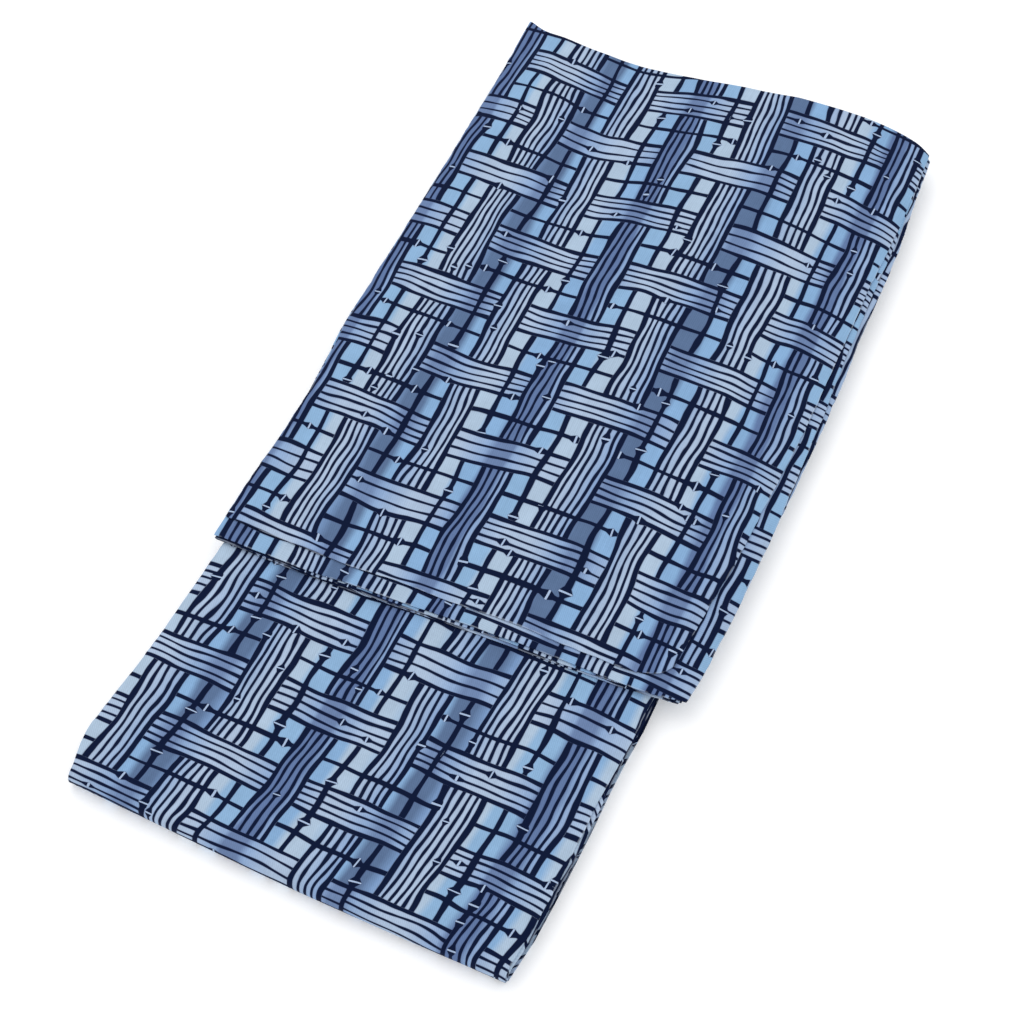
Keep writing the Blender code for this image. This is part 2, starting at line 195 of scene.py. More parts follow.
def soft_step(value):
    value = min(max(value, 0.0), 1.0)
    return value * value * (3 - 2 * value)


print("shoulder line strays from", stray(SHOULDER_STRAY, 0), "to", stray(SHOULDER_STRAY, 1), "mm")

# %% [markdown]
# ## How the stack of cloth drapes
# Every leaf of the stack nests in the one below, so one rule gives the rise and fall of them all: the stack
# sinks at its sides, the collar's bulk lifts it by the shoulders, and soft ridges and troughs run through
# it. The creases are listed one by one and are uneven in length, depth and spacing. A slow noise between
# them keeps the cloth from looking machined.

# %% Ridges and creases
# A ridge is a soft swell that runs along the cloth
Ridge = namedtuple("Ridge", "x y half_width half_length rise")
RIDGES = (
    Ridge(-104, 150, 24, 230, 1.1),
    Ridge(-30, 215, 30, 160, 0.8),
    Ridge(22, -20, 26, 150, 0.9),
    Ridge(88, 60, 28, 190, 1.2),
    Ridge(-78, -250, 27, 120, 0.8),
    Ridge(58, -262, 30, 110, 1.0),
)

# A crease runs between two points: x, y, x, y, half width, height and how far its middle bows sideways
Crease = namedtuple("Crease", "x0 y0 x1 y1 width height bow")
CREASES = (
    Crease(-150, 338, -96, 262, 7, 0.9, 5),
    Crease(-118, 352, -88, 205, 9, -0.9, -6),
    Crease(-66, 348, -52, 252, 8, 0.8, 4),
    Crease(96, 368, 118, 262, 8, 1.1, -7),
    Crease(136, 352, 120, 318, 5, 1.3, 3),
    Crease(58, 352, 40, 236, 10, -0.8, 6),
    Crease(140, 262, 128, 92, 9, 1.0, 5),
    Crease(112, 180, 104, 20, 8, -0.8, -5),
    Crease(20, 170, 6, 16, 9, 0.7, 5),
    Crease(-148, 132, -128, -36, 8, 0.9, -4),
    Crease(-96, 62, -112, -96, 7, -0.7, 5),
    Crease(-20, -26, -34, -132, 8, 0.7, -4),
    Crease(64, -40, 82, -138, 7, 0.9, 6),
    Crease(150, 20, 146, -120, 6, 1.1, -4),
    Crease(112, -128, 170, -104, 7, 1.2, 4),
    Crease(-150, -120, -104, -140, 6, 1.0, -3),
    Crease(-126, -196, -140, -330, 8, 0.8, 5),
    Crease(-24, -190, -12, -318, 9, -0.7, -5),
    Crease(26, -214, 34, -338, 8, 0.8, 4),
    Crease(96, -206, 118, -352, 8, 1.0, -6),
    Crease(112, -292, 150, -314, 6, 1.3, 3),
    Crease(86, -346, 132, -330, 5, 1.1, 3),
    Crease(-102, -352, -60, -340, 6, 0.8, -2),
)

print(len(RIDGES), "ridges and", len(CREASES), "creases")

# %% [markdown]
# ## The rise and fall of every leaf
# A crease fades in and out, and runs on a little past its two points. Over the collar the leaves are
# lifted, with a soft rise from three sides. All of it is one function of the place, so leaves that lie on
# each other rise and fall together.

# %% The drape
# Past its ends a crease runs on, and it rises and fades, by these shares of its length
CREASE_PAST = 0.2
CREASE_RISE = 0.45
CREASE_FADE = 0.6
CREASE_HALF_WIDTHS = 4

EDGE_START = BODY_WIDTH / 2 - 8
EDGE_SOFTNESS = 8
EDGE_SLOPE = 0.16

# Where the collar's lift starts on each side, and over what length it rises
COLLAR_LIFT = 3.1
LIFT_LEFT, LIFT_LEFT_RISE = 14, 38
LIFT_RIGHT, LIFT_RIGHT_RISE = 162, 24
LIFT_NEAR, LIFT_NEAR_RISE = 241, 55

# Unevenness between the creases: its height, its size across and along, and where its noise starts
UNEVEN = ((0.55, 34, 85, 3.1), (0.22, 13, 24, 7.7))


def crease_height(crease, x, y):
    run_x, run_y = crease.x1 - crease.x0, crease.y1 - crease.y0
    length = math.hypot(run_x, run_y)
    share = ((x - crease.x0) * run_x + (y - crease.y0) * run_y) / length**2
    if not -CREASE_PAST < share < 1 + CREASE_PAST:
        return 0.0
    off = ((x - crease.x0) * run_y - (y - crease.y0) * run_x) / length
    off -= crease.bow * math.sin(math.pi * min(max(share, 0), 1))
    if abs(off) > CREASE_HALF_WIDTHS * crease.width:
        return 0.0
    risen = soft_step((share + CREASE_PAST) / CREASE_RISE)
    faded = soft_step((1 + CREASE_PAST - share) / CREASE_FADE)
    return crease.height * (risen * faded) * math.exp(-((off / crease.width) ** 2))


def collar_lift(x, y):
    from_left = soft_step((x - LIFT_LEFT) / LIFT_LEFT_RISE)
    from_right = soft_step((LIFT_RIGHT - x) / LIFT_RIGHT_RISE)
    return COLLAR_LIFT * (from_left * from_right * soft_step((y - LIFT_NEAR) / LIFT_NEAR_RISE))


def drape(x, y):
    """What the stack's form adds to the height of a leaf at a place."""
    past = max(abs(x) - EDGE_START, 0.0)
    height = -EDGE_SLOPE * (math.hypot(past, EDGE_SOFTNESS) - EDGE_SOFTNESS)
    height += collar_lift(x, y)
    for ridge in RIDGES:
        off = ((x - ridge.x) / ridge.half_width) ** 2 + ((y - ridge.y) / ridge.half_length) ** 2
        height += ridge.rise * math.exp(-off)
    for crease in CREASES:
        height += crease_height(crease, x, y)
    return height + sum(
        size * noise.noise((x / across, y / along, start)) for size, across, along, start in UNEVEN
    )


print("the top leaf rises", round(LEFT_SLEEVE_LEVELS[1] + drape(100, 340), 1), "mm over the collar")

# %% [markdown]
# ## One sheet of cloth
# A sheet starts as a grid with a column of points for each place across the cloth and a row for each place
# along it. Its points are then moved to where the cloth lies, as by hand, leaf after leaf and round each
# fold. The grid's own UV map becomes the cloth's coordinates, in metres, so the print runs along the cloth
# and round its folds. A solidify modifier gives the cloth its thickness and a bevel rounds its cut edges.
# The columns and rows are closer at the hems, where the cloth rolls.

# %% Places across and along a sheet
HEM_STEPS = (0, 0.45, 1.0, 1.8, 2.9, 4.4, 6.4, 9)


def places(length, pitch, hems=(True, True)):
    """Shares of the way along a length, closer together at its hems."""
    low = list(HEM_STEPS) if hems[0] else [0]
    high = [length - step for step in HEM_STEPS[::-1]] if hems[1] else [length]
    start, end = low[-1], high[0]
    count = max(round((end - start) / pitch), 1)
    middle = [mix(start, end, k / count) for k in range(1, count)]
    return [place / length for place in low + middle + high]


BODY_COLUMNS = places(BODY_WIDTH, 4)
SLEEVE_COLUMNS = places(SLEEVE_WIDTH, 4)
print("columns:", len(BODY_COLUMNS), "on the body,", len(SLEEVE_COLUMNS), "on a sleeve")

# %% From rows of places to a sheet
# One row: where its points lie, where each is on the flat cloth, and how near it is to a hem
Row = namedtuple("Row", "points chart hem")
CLOTH = 0.9 * MM
RIM_ROUND = 0.25 * MM
RIM_ANGLE = math.radians(65)
SMOOTH_ANGLE = math.radians(60)
print("the cloth is", round(CLOTH / MM, 2), "mm thick, its rim rounded by", round(RIM_ROUND / MM, 2), "mm")


def cloth_piece(name, rows, material):
    """A grid whose points are moved to the rows' places, thickened to a wall of cloth with round edges."""
    across, along = len(rows[0].points) - 1, len(rows) - 1
    bpy.ops.mesh.primitive_grid_add(x_subdivisions=across, y_subdivisions=along, size=1, calc_uvs=True)
    piece = bpy.context.object
    piece.name = piece.data.name = name
    mesh = piece.data
    hem = mesh.attributes.new("hem", "FLOAT", "POINT")
    chart = []
    for vertex in mesh.vertices:
        column, row = round((vertex.co.x + 0.5) * across), round((vertex.co.y + 0.5) * along)
        chart.append(rows[row].chart[column])
        hem.data[vertex.index].value = rows[row].hem[column]
        vertex.co = spot(*rows[row].points[column])
    layer = mesh.uv_layers.active
    layer.name = "cloth"
    for loop in mesh.loops:
        layer.data[loop.index].uv = [place * MM for place in chart[loop.vertex_index]]
    wall = piece.modifiers.new("wall", "SOLIDIFY")
    wall.thickness = CLOTH
    wall.offset = 0
    bpy.ops.object.modifier_apply(modifier="wall")
    rim = piece.modifiers.new("rim", "BEVEL")
    rim.width = RIM_ROUND
    rim.segments = 2
    rim.limit_method = "ANGLE"
    rim.angle_limit = RIM_ANGLE
    bpy.ops.object.modifier_apply(modifier="rim")
    bpy.ops.object.shade_smooth_by_angle(angle=SMOOTH_ANGLE)
    mesh.materials.append(material)
    piece.select_set(False)
    print(name, "has", sum(len(face.vertices) - 2 for face in mesh.polygons), "triangles")
    return piece


# %% [markdown]
# ## The print
# Yukata cotton is stencil-dyed, here with a traditional basket weave of split bamboo. Bundles of stems run
# along the cloth and pass over and under bundles that cross it, with one single stem between each pair. A
# small repeat like this needs no picture: it is charted by rule. The rules are written as sums on the
# cloth's UV map, so every line stays sharp and follows the cloth. A little wander in the lines, and odd
# nodes on the stems, make it look drawn by hand. The ground is dyed in soft bands along the cloth.
#
# A node for each plus and minus is tedious to place by hand. The small class below stands for one number
# on its way through the nodes, so that a rule can be written as an ordinary sum in Python.

# %% Sums in a material's nodes
print_tree = bpy.data.node_groups.new("bamboo basket print", "ShaderNodeTree")


class Amount:
    """A number on its way through the nodes of the chart, so that a rule can be written as a sum."""

    def __init__(self, socket):
        self.socket = socket

    def __add__(self, other):
        return sums("ADD", self, other)

    def __sub__(self, other):
        return sums("SUBTRACT", self, other)

    def __rsub__(self, other):
        return sums("SUBTRACT", other, self)

    def __mul__(self, other):
        return sums("MULTIPLY", self, other)

    def __truediv__(self, other):
        return sums("DIVIDE", self, other)

    def __rtruediv__(self, other):
        return sums("DIVIDE", other, self)

    def __gt__(self, other):
        return sums("GREATER_THAN", self, other)

    def __lt__(self, other):
        return sums("LESS_THAN", self, other)

    __radd__ = __add__
    __rmul__ = __mul__


def plug(amount, socket):
    if isinstance(amount, Amount):
        socket.id_data.links.new(amount.socket, socket)
    else:
        socket.default_value = amount


def sums(kind, *amounts, clamp=False):
    node = print_tree.nodes.new("ShaderNodeMath")
    node.operation = kind
    node.use_clamp = clamp
    for amount, socket in zip(amounts, node.inputs):
        plug(amount, socket)
    return Amount(node.outputs[0])


print("each sum will add one node to the", print_tree.name)

# %% More words for the rules
# A noise node wavers between about 0.22 and 0.78, which this makes -1 to 1
NOISE_SPAN = 3.6


def larger(first, *others):
    for other in others:
        first = sums("MAXIMUM", first, other)
    return first


def whole(amount):
    return sums("ROUND", amount)


def size_of(amount):
    return sums("ABSOLUTE", amount)


def together(x, y, z):
    node = print_tree.nodes.new("ShaderNodeCombineXYZ")
    for amount, socket in zip((x, y, z), node.inputs):
        plug(amount, socket)
    return node.outputs[0]


def chance(a, b, c):
    """A number from 0 to 1 that looks random but is the same for the same three numbers."""
    node = print_tree.nodes.new("ShaderNodeTexWhiteNoise")
    node.noise_dimensions = "3D"
    print_tree.links.new(together(a, b, c), node.inputs["Vector"])
    return Amount(node.outputs["Value"])


def wander(x, y, across, along, seed, detail=0.0):
    """A smooth noise from about -1 to 1, stretched across and along the cloth by the given millimetres."""
    node = print_tree.nodes.new("ShaderNodeTexNoise")
    node.noise_dimensions = "3D"
    node.inputs["Scale"].default_value = 1.0
    node.inputs["Detail"].default_value = detail
    print_tree.links.new(together(x / across, y / along, seed), node.inputs["Vector"])
    return (Amount(node.outputs["Fac"]) - 0.5) * NOISE_SPAN


print("words for the rules: larger, whole, size_of, together, chance, wander")

# %% What goes into the print and what comes out
print_tree.interface.new_socket("Cloth", in_out="INPUT", socket_type="NodeSocketVector")
for title in ("Seed", "Band shift"):
    print_tree.interface.new_socket(title, in_out="INPUT", socket_type="NodeSocketFloat")
for title in ("Ink", "Halo", "Slit", "Stem", "Run", "Band"):
    print_tree.interface.new_socket(title, in_out="OUTPUT", socket_type="NodeSocketFloat")
print_in = print_tree.nodes.new("NodeGroupInput")
print_out = print_tree.nodes.new("NodeGroupOutput")
print("the print gives", ", ".join(print_out.inputs.keys()[:-1]))

# %% [markdown]
# ## The rules of the weave
# Columns of bundles stand 50 mm apart and rows of runs 60 mm apart. Where a column meets a row, the two
# take turns to be on top, as squares on a chessboard do. Before any rule, each place is shifted a little by
# three sizes of wander, so that all lines waver together as if cut by hand.

# %% The sizes of the weave
COLUMN_PITCH = 50.0
ROW_PITCH = 60.0
BAND_PITCH = 145.8
BUNDLE_HALF = 9.85
BUNDLE_WIDER = 1.7
RUN_HALF = 11.7

# Half widths of the thick and the thin lines, how far a node stands out from a line, and how it slants
Lines = namedtuple("Lines", "thick thin reach slant")
ALONG_LINES = Lines(1.72, 0.96, 1.9, 0.08)
ACROSS_LINES = Lines(1.52, 0.94, 1.8, 0.0)

# Three wanders of all lines: its size one way, its size the other way, and how far it shifts them
WOBBLES = ((45, 60, 1.6), (17, 34, 1.15), (6, 22, 0.5))
INK_PATCH = 8
INK_UNEVEN = 0.13
print("the repeat is", COLUMN_PITCH, "by", ROW_PITCH, "mm")

# %% Columns and rows
split = print_tree.nodes.new("ShaderNodeSeparateXYZ")
print_tree.links.new(print_in.outputs["Cloth"], split.inputs[0])
seed = Amount(print_in.outputs["Seed"])
band_shift = Amount(print_in.outputs["Band shift"])
flat_x = Amount(split.outputs["X"]) * 1000
flat_y = Amount(split.outputs["Y"]) * 1000
x, y = flat_x, flat_y
for number, (wide_way, long_way, size) in enumerate(WOBBLES):
    x = x + wander(flat_x, flat_y, wide_way, long_way, seed + 1.3 + 2 * number) * size
    y = y + wander(flat_x, flat_y, long_way, wide_way, seed + 9.1 + 2 * number) * size
uneven = wander(flat_x, flat_y, INK_PATCH, INK_PATCH, seed + 6.4) * INK_UNEVEN


def wider(column):
    """1 for one bundle in three, which has one stem more than the others."""
    return size_of(sums("FLOORED_MODULO", column, 3.0) - 1) < 0.5


column, row = whole(x / COLUMN_PITCH), whole(y / ROW_PITCH)
from_column, from_row = x - column * COLUMN_PITCH, y - row * ROW_PITCH
odd = sums("FLOORED_MODULO", column + row, 2.0)
leftward = from_column < 0.0
side_x, side_y = sums("SIGN", from_column), sums("SIGN", from_row)
bundle_half = wider(column) * BUNDLE_WIDER + BUNDLE_HALF
on_bundle = size_of(from_column) < bundle_half + ALONG_LINES.thick
on_run = size_of(from_row) < RUN_HALF + ACROSS_LINES.thick
print("charted the", COLUMN_PITCH, "by", ROW_PITCH, "mm weave:", len(print_tree.nodes), "nodes")

# %% [markdown]
# ## Lines and the nodes on them
# Every rule gives a depth in ink: how far inside a line a place is, in millimetres, and below zero outside
# it. Depths are easy to join: the deepest of several lines is their union, and a smooth maximum rounds the
# corners between them, as ink bleeds. A bamboo node is a slit with the line flaring on both sides of it.

# %% Nodes on the stems
FLARE_LENGTH = 3.8
FLARE_CURVE = 1.15
SLIT_HALF = 0.56
SLIT_DEPTH = 0.1
HIDDEN = -6.0
BLEED = 0.9


def stem_mark(along, across, place, seen, lines, reach):
    """A bamboo node: a thin slanted slit in a line, with the line flaring like a trumpet either side."""
    away = size_of(along - place + across * lines.slant)
    near = sums("SUBTRACT", 1.0, away / FLARE_LENGTH, clamp=True)
    flare = sums("POWER", near, FLARE_CURVE) * seen * reach
    return flare, (away < SLIT_HALF) * seen


def soft_union(first, *others):
    """The deepest ink of several lines, with the inner corners between them rounded as ink bleeds."""
    for other in others:
        first = sums("SMOOTH_MAX", first, other, BLEED)
    return first


def where(shown, depth):
    """A line's depth where it shows, and no ink where another stem passes over it."""
    return (depth - HIDDEN) * shown + HIDDEN


print("a node is", 2 * FLARE_LENGTH, "mm long")

# %% [markdown]
# ## Bundles, runs and single stems
# A bundle has thick borders and three or four thin lines between them, and a run has two or three. One
# function draws both. Chance comes from a white noise of the line's own column, row and number, so a node
# stays on its line, and the same cloth gets the same nodes each time.

# %% One bundle of stems
# How far the nodes of a line spread along it, and the share of lines that have one
BUNDLE_NODES = (84.0, 0.3)
RUN_NODES = (68.0, 0.36)
FEW_LINES = 0.32
OTHER_END = 40


def stems(offset, along, stem_count, half, lines, ids, spread, seen_share):
    """How deep in ink a place is in one bundle: thick borders, thin stems between them, and their nodes."""
    gap = 2 * half / (stem_count + 1)
    place = offset / gap + (stem_count + 1) * 0.5
    line = sums("MINIMUM", larger(whole(place), 0.0), stem_count + 1)
    off = (place - line) * gap
    edge = larger(line < 0.5, line > stem_count + 0.5)
    mark_place = (chance(ids[0], ids[1] + 0.25, line) - 0.5) * spread
    seen = chance(ids[0] + 0.5, ids[1], line) < seen_share
    flare, slit = stem_mark(along, off, mark_place, seen, lines, lines.reach)
    depth = edge * (lines.thick - lines.thin) + lines.thin + flare - size_of(off)
    return depth, slit * (depth > SLIT_DEPTH)


# %% Bundles along the cloth and runs across it
between_rows = sums("FLOOR", y / ROW_PITCH)
between_columns = sums("FLOOR", x / COLUMN_PITCH)
pair = sums("FLOOR", (between_rows - 1) / 2)
row_cuts = 1 - sums("FLOORED_MODULO", column + 1 + pair, 2.0)
column_cuts = 1 - size_of(odd - leftward)

bundle_row = row + (1 - odd) * side_y
bundle_short = row_cuts * (1 - odd)
bundle_depth, bundle_slit = stems(
    from_column, y - bundle_row * ROW_PITCH, wider(column) + 3, bundle_half, ALONG_LINES,
    (column + seed, bundle_row + OTHER_END * bundle_short), *BUNDLE_NODES,
)

run_column = column + odd * side_x
run_short = odd * leftward
run_count = 2 + (chance(run_column + seed, row, run_short + 7) > FEW_LINES)
run_depth, run_slit = stems(
    from_row, x - run_column * COLUMN_PITCH, run_count, RUN_HALF, ACROSS_LINES,
    (run_column + seed + 0.3, row + OTHER_END * run_short), *RUN_NODES,
)
print("bundles and runs take the print to", len(print_tree.nodes), "nodes")

# %% Single stems between the bundles
# How far from the crossing their nodes start, and how much further they spread
ALONG_SINGLE = (6.0, 11.0)
ACROSS_SINGLE = (5.0, 7.0)
SINGLE_REACH = 0.3
SINGLE_SHARE = 0.5


def single_stem(along, across, near, spread, lines, key):
    """A stem on its own. Its nodes keep clear of the middle, where it crosses another single stem."""
    off = chance(between_columns + seed, between_rows, key) * 2 - 1
    place = sums("SIGN", off) * near + off * spread
    seen = chance(between_columns + seed, between_rows, key + 2) < SINGLE_SHARE
    flare, slit = stem_mark(along, across, place, seen, lines, lines.reach + SINGLE_REACH)
    depth = flare + lines.thick - size_of(across)
    return depth, slit * (depth > SLIT_DEPTH)


lean = (wider(between_columns) - wider(between_columns + 1)) * (BUNDLE_WIDER / 2)
from_single = x - (between_columns + 0.5) * COLUMN_PITCH - lean
from_cross = y - (between_rows + 0.5) * ROW_PITCH
single_depth, single_slit = single_stem(from_cross, from_single, *ALONG_SINGLE, ALONG_LINES, key=11.0)
cross_depth, cross_slit = single_stem(from_single, from_cross, *ACROSS_SINGLE, ACROSS_LINES, key=17.0)
single_shown = larger(1 - on_run, column_cuts)
cross_shown = larger(1 - on_bundle, row_cuts)
print("single stems take it to", len(print_tree.nodes), "nodes")

# %% [markdown]
# ## Over and under
# A line shows where nothing passes over it. The ink is the soft union of all that show, less the slits of
# the nodes. Besides the ink, the print gives a soft halo round it, the stems' own ground, which is dyed
# softer than the open ground, and how far across a band of dye a place is.

# %% Which stem passes over which
BUNDLE_MARGIN = 4.6
RUN_MARGIN = 4.4
INK_SOFTNESS = 0.35
HALO_SOFTNESS, HALO_START, HALO_SHARE = 0.8, 0.8, 0.35
RUN_SHARE = 0.12
BAND_WANDER = 2.0
bundle_under = on_run * (1 - odd)
run_under = on_bundle * odd
bundle_shown = (size_of(from_column) < bundle_half + BUNDLE_MARGIN) * (1 - bundle_under)
run_shown = (size_of(from_row) < RUN_HALF + RUN_MARGIN) * (1 - run_under)
depth = soft_union(
    where(bundle_shown, bundle_depth),
    where(run_shown, run_depth),
    where(single_shown, single_depth),
    where(cross_shown, cross_depth),
) + uneven
slit = larger(
    bundle_shown * bundle_slit, run_shown * run_slit, single_shown * single_slit, cross_shown * cross_slit
)
ink = sums("ADD", depth / INK_SOFTNESS, 0.5, clamp=True) * (1 - slit)
halo = sums("ADD", depth / HALO_SOFTNESS, HALO_START, clamp=True) * (1 - slit) * HALO_SHARE
on_stems = larger(on_bundle * (1 - bundle_under), on_run * (1 - run_under))
light_run = on_run * (1 - run_under) * RUN_SHARE
band_place = flat_x - band_shift + wander(flat_x, flat_y, 26, 60, seed + 4.4, 2.0) * BAND_WANDER
band = sums("FLOORED_MODULO", band_place / BAND_PITCH, 1.0)
for title, amount in (
    ("Ink", ink), ("Halo", halo), ("Slit", slit), ("Stem", on_stems), ("Run", light_run), ("Band", band)
):
    plug(amount, print_out.inputs[title])
print("the print takes", len(print_tree.nodes), "nodes")

# %% [markdown]
# ## The dyes
# The ground is dyed in bands along the cloth that repeat about every three bundles: violet, sky, pale,
# haze, steel, mid blue, pale and mid blue, then violet again. The stems' own ground follows the same rhythm
# in softer dyes. A colour ramp turns a place across a band into its dye, and each dye has a name.

# %% Dyes
def dye(code):
    """A colour written as six hex digits, as linear light."""
    parts = [int(code[i:i + 2], 16) / 255 for i in (0, 2, 4)]
    return [((p + 0.055) / 1.055) ** 2.4 if p > 0.04 else p / 12.92 for p in parts] + [1.0]


DYES = {
    "violet": "637aa4",
    "steel": "5d7497",
    "haze": "7d9cc6",
    "sky": "90b5d8",
    "blue": "8bb1d8",
    "pale": "b1c6db",
    "slate": "6a82ab",
    "dusk": "8da9d0",
    "mist": "b1c4dc",
}
# Where each dye starts and ends along one band, on the open ground and on the stems
GROUND_BANDS = (
    (0.0, "violet"), (0.035, "violet"), (0.07, "sky"), (0.175, "sky"), (0.2, "pale"), (0.29, "pale"),
    (0.41, "haze"), (0.455, "steel"), (0.54, "steel"), (0.57, "blue"), (0.66, "blue"), (0.76, "pale"),
    (0.84, "pale"), (0.868, "blue"), (0.94, "blue"), (0.965, "violet"), (1.0, "violet"),
)
STEM_BANDS = (
    (0.0, "violet"), (0.042, "violet"), (0.06, "dusk"), (0.2, "mist"), (0.32, "mist"), (0.44, "dusk"),
    (0.48, "slate"), (0.54, "slate"), (0.59, "dusk"), (0.73, "mist"), (0.8, "mist"), (0.93, "dusk"),
    (0.965, "violet"), (1.0, "violet"),
)
RUN_DYE = "a9bddb"
INK = "0b1735"
HALO = "474f86"
SLIT = "adc1de"
# The pale colour the cloth turns to, in patches, towards its hems
HEM_PALE_COLOUR = "c6d2e4"
print(len(DYES), "dyes in the bands:", ", ".join(DYES))

# %% [markdown]
# ## The cotton
# The cloth itself is matt, slubby plain-woven cotton. Its threads, its fine twill-like lines and the clouds
# in its dye are noises and waves on the cloth's own coordinates, so they turn with it. All of them only
# darken or lighten the dye a little, and a bump of crossed threads catches the light.

# %% Helpers for a material's nodes
def colour_mix(tree, share, low, high, kind="MIX"):
    node = tree.nodes.new("ShaderNodeMix")
    node.data_type = "RGBA"
    node.blend_type = kind
    for value, socket in ((share, node.inputs["Factor"]), (low, node.inputs[6]), (high, node.inputs[7])):
        if isinstance(value, (float, int, list, tuple)):
            socket.default_value = value
        else:
            tree.links.new(value, socket)
    return node.outputs[2]


def cloth_noise(tree, cloth, stretch, detail):
    """Noise on the cloth's own coordinates, with its size across and along the cloth in millimetres."""
    mapping = tree.nodes.new("ShaderNodeMapping")
    mapping.inputs["Scale"].default_value = (1000 / stretch[0], 1000 / stretch[1], 1)
    tree.links.new(cloth, mapping.inputs["Vector"])
    node = tree.nodes.new("ShaderNodeTexNoise")
    node.inputs["Scale"].default_value = 1.0
    node.inputs["Detail"].default_value = detail
    node.inputs["Roughness"].default_value = 0.6
    tree.links.new(mapping.outputs[0], node.inputs["Vector"])
    return node.outputs["Fac"]


def ramp(tree, value, stops):
    node = tree.nodes.new("ShaderNodeValToRGB")
    while len(node.color_ramp.elements) < len(stops):
        node.color_ramp.elements.new(0.5)
    for element, (place, colour) in zip(node.color_ramp.elements, stops):
        element.position = place
        element.color = colour
    tree.links.new(value, node.inputs[0])
    return node.outputs[0]


def grey(level):
    return (level, level, level, 1.0)


def stretched(tree, value, low, high):
    """A noise turned to a shade: low and high are the greys at its quiet and its loud end."""
    return ramp(tree, value, [(0.25, grey(low)), (0.75, grey(high))])


print("violet is", [round(part, 3) for part in dye(DYES["violet"])[:3]], "in linear light")

# %% Threads and clouds
# Unevenness in the dye: its size across and along, and its greys at the quiet and the loud end
Shade = namedtuple("Shade", "across along low high")
SHADES = (
    Shade(0.7, 26, 0.92, 1.06),
    Shade(14, 0.7, 0.95, 1.04),
    Shade(18, 24, 0.92, 1.06),
)
TWILL_GREYS = (0.94, 1.04)
TWILL_TURN = math.radians(38)
TWILL_SCALE = 0.27
TWILL_WAVER = 1.4
print(len(SHADES), "shades and a twill on each cloth")


def twill(tree, cloth):
    """The fine slanting lines that two threads of plain weave make together."""
    mapping = tree.nodes.new("ShaderNodeMapping")
    mapping.inputs["Scale"].default_value = (1000, 1000, 1)
    mapping.inputs["Rotation"].default_value = (0, 0, TWILL_TURN)
    tree.links.new(cloth, mapping.inputs["Vector"])
    wave = tree.nodes.new("ShaderNodeTexWave")
    wave.inputs["Scale"].default_value = TWILL_SCALE
    wave.inputs["Distortion"].default_value = TWILL_WAVER
    tree.links.new(mapping.outputs[0], wave.inputs["Vector"])
    return wave.outputs["Fac"]


def dyed_ground(tree, cloth, chart):
    """The cloth before it is printed: bands of dye, the stems' softer ground, and uneven threads."""
    ground, stem_ground = [
        ramp(tree, chart.outputs["Band"], [(place, dye(DYES[title])) for place, title in bands])
        for bands in (GROUND_BANDS, STEM_BANDS)
    ]
    ground = colour_mix(tree, chart.outputs["Stem"], ground, stem_ground)
    ground = colour_mix(tree, chart.outputs["Run"], ground, dye(RUN_DYE))
    ground = colour_mix(tree, chart.outputs["Slit"], ground, dye(SLIT))
    shades = []
    for shade in SHADES:
        cloud = cloth_noise(tree, cloth, (shade.across, shade.along), 3)
        shades.append(stretched(tree, cloud, shade.low, shade.high))
    shades.append(stretched(tree, twill(tree, cloth), *TWILL_GREYS))
    for shade in shades:
        ground = colour_mix(tree, 1.0, ground, shade, "MULTIPLY")
    return ground


# %% Paler hems and the weave's relief
# How much a hem pales at two places on the way to its edge, and between which levels of a noise it does so
HEM_PALING = ((0.86, 0.0), (0.96, 0.35))
HEM_PATCHES = ((0.49, 0.0), (0.56, 1.0))
PATCH_SIZE = (17, 17)
SLUB, THREAD = (0.5, 5), (5, 0.5)
BUMP_STRENGTH = 0.35
BUMP_HEIGHT = 0.25 * MM
FINISH = {"Roughness": 0.9, "Sheen Weight": 0.02, "Sheen Roughness": 0.5, "Specular IOR Level": 0.05}
print("cotton:", FINISH)


def pale_hems(tree, cloth, printed):
    """Paler cloth in patches towards the hems."""
    hem = tree.nodes.new("ShaderNodeAttribute")
    hem.attribute_name = "hem"
    at_edge = ramp(tree, hem.outputs["Fac"], [(place, grey(level)) for place, level in HEM_PALING])
    clouds = cloth_noise(tree, cloth, PATCH_SIZE, 2)
    patches = ramp(tree, clouds, [(place, grey(level)) for place, level in HEM_PATCHES])
    hem_paleness = colour_mix(tree, 1.0, at_edge, patches, "MULTIPLY")
    return colour_mix(tree, hem_paleness, printed, dye(HEM_PALE_COLOUR))


def weave_relief(tree, cloth, shader):
    slub = cloth_noise(tree, cloth, SLUB, 2)
    thread = cloth_noise(tree, cloth, THREAD, 2)
    weave = colour_mix(tree, 0.5, slub, thread)
    bump = tree.nodes.new("ShaderNodeBump")
    bump.inputs["Strength"].default_value = BUMP_STRENGTH
    bump.inputs["Distance"].default_value = BUMP_HEIGHT
    tree.links.new(weave, bump.inputs["Height"])
    tree.links.new(bump.outputs[0], shader.inputs["Normal"])


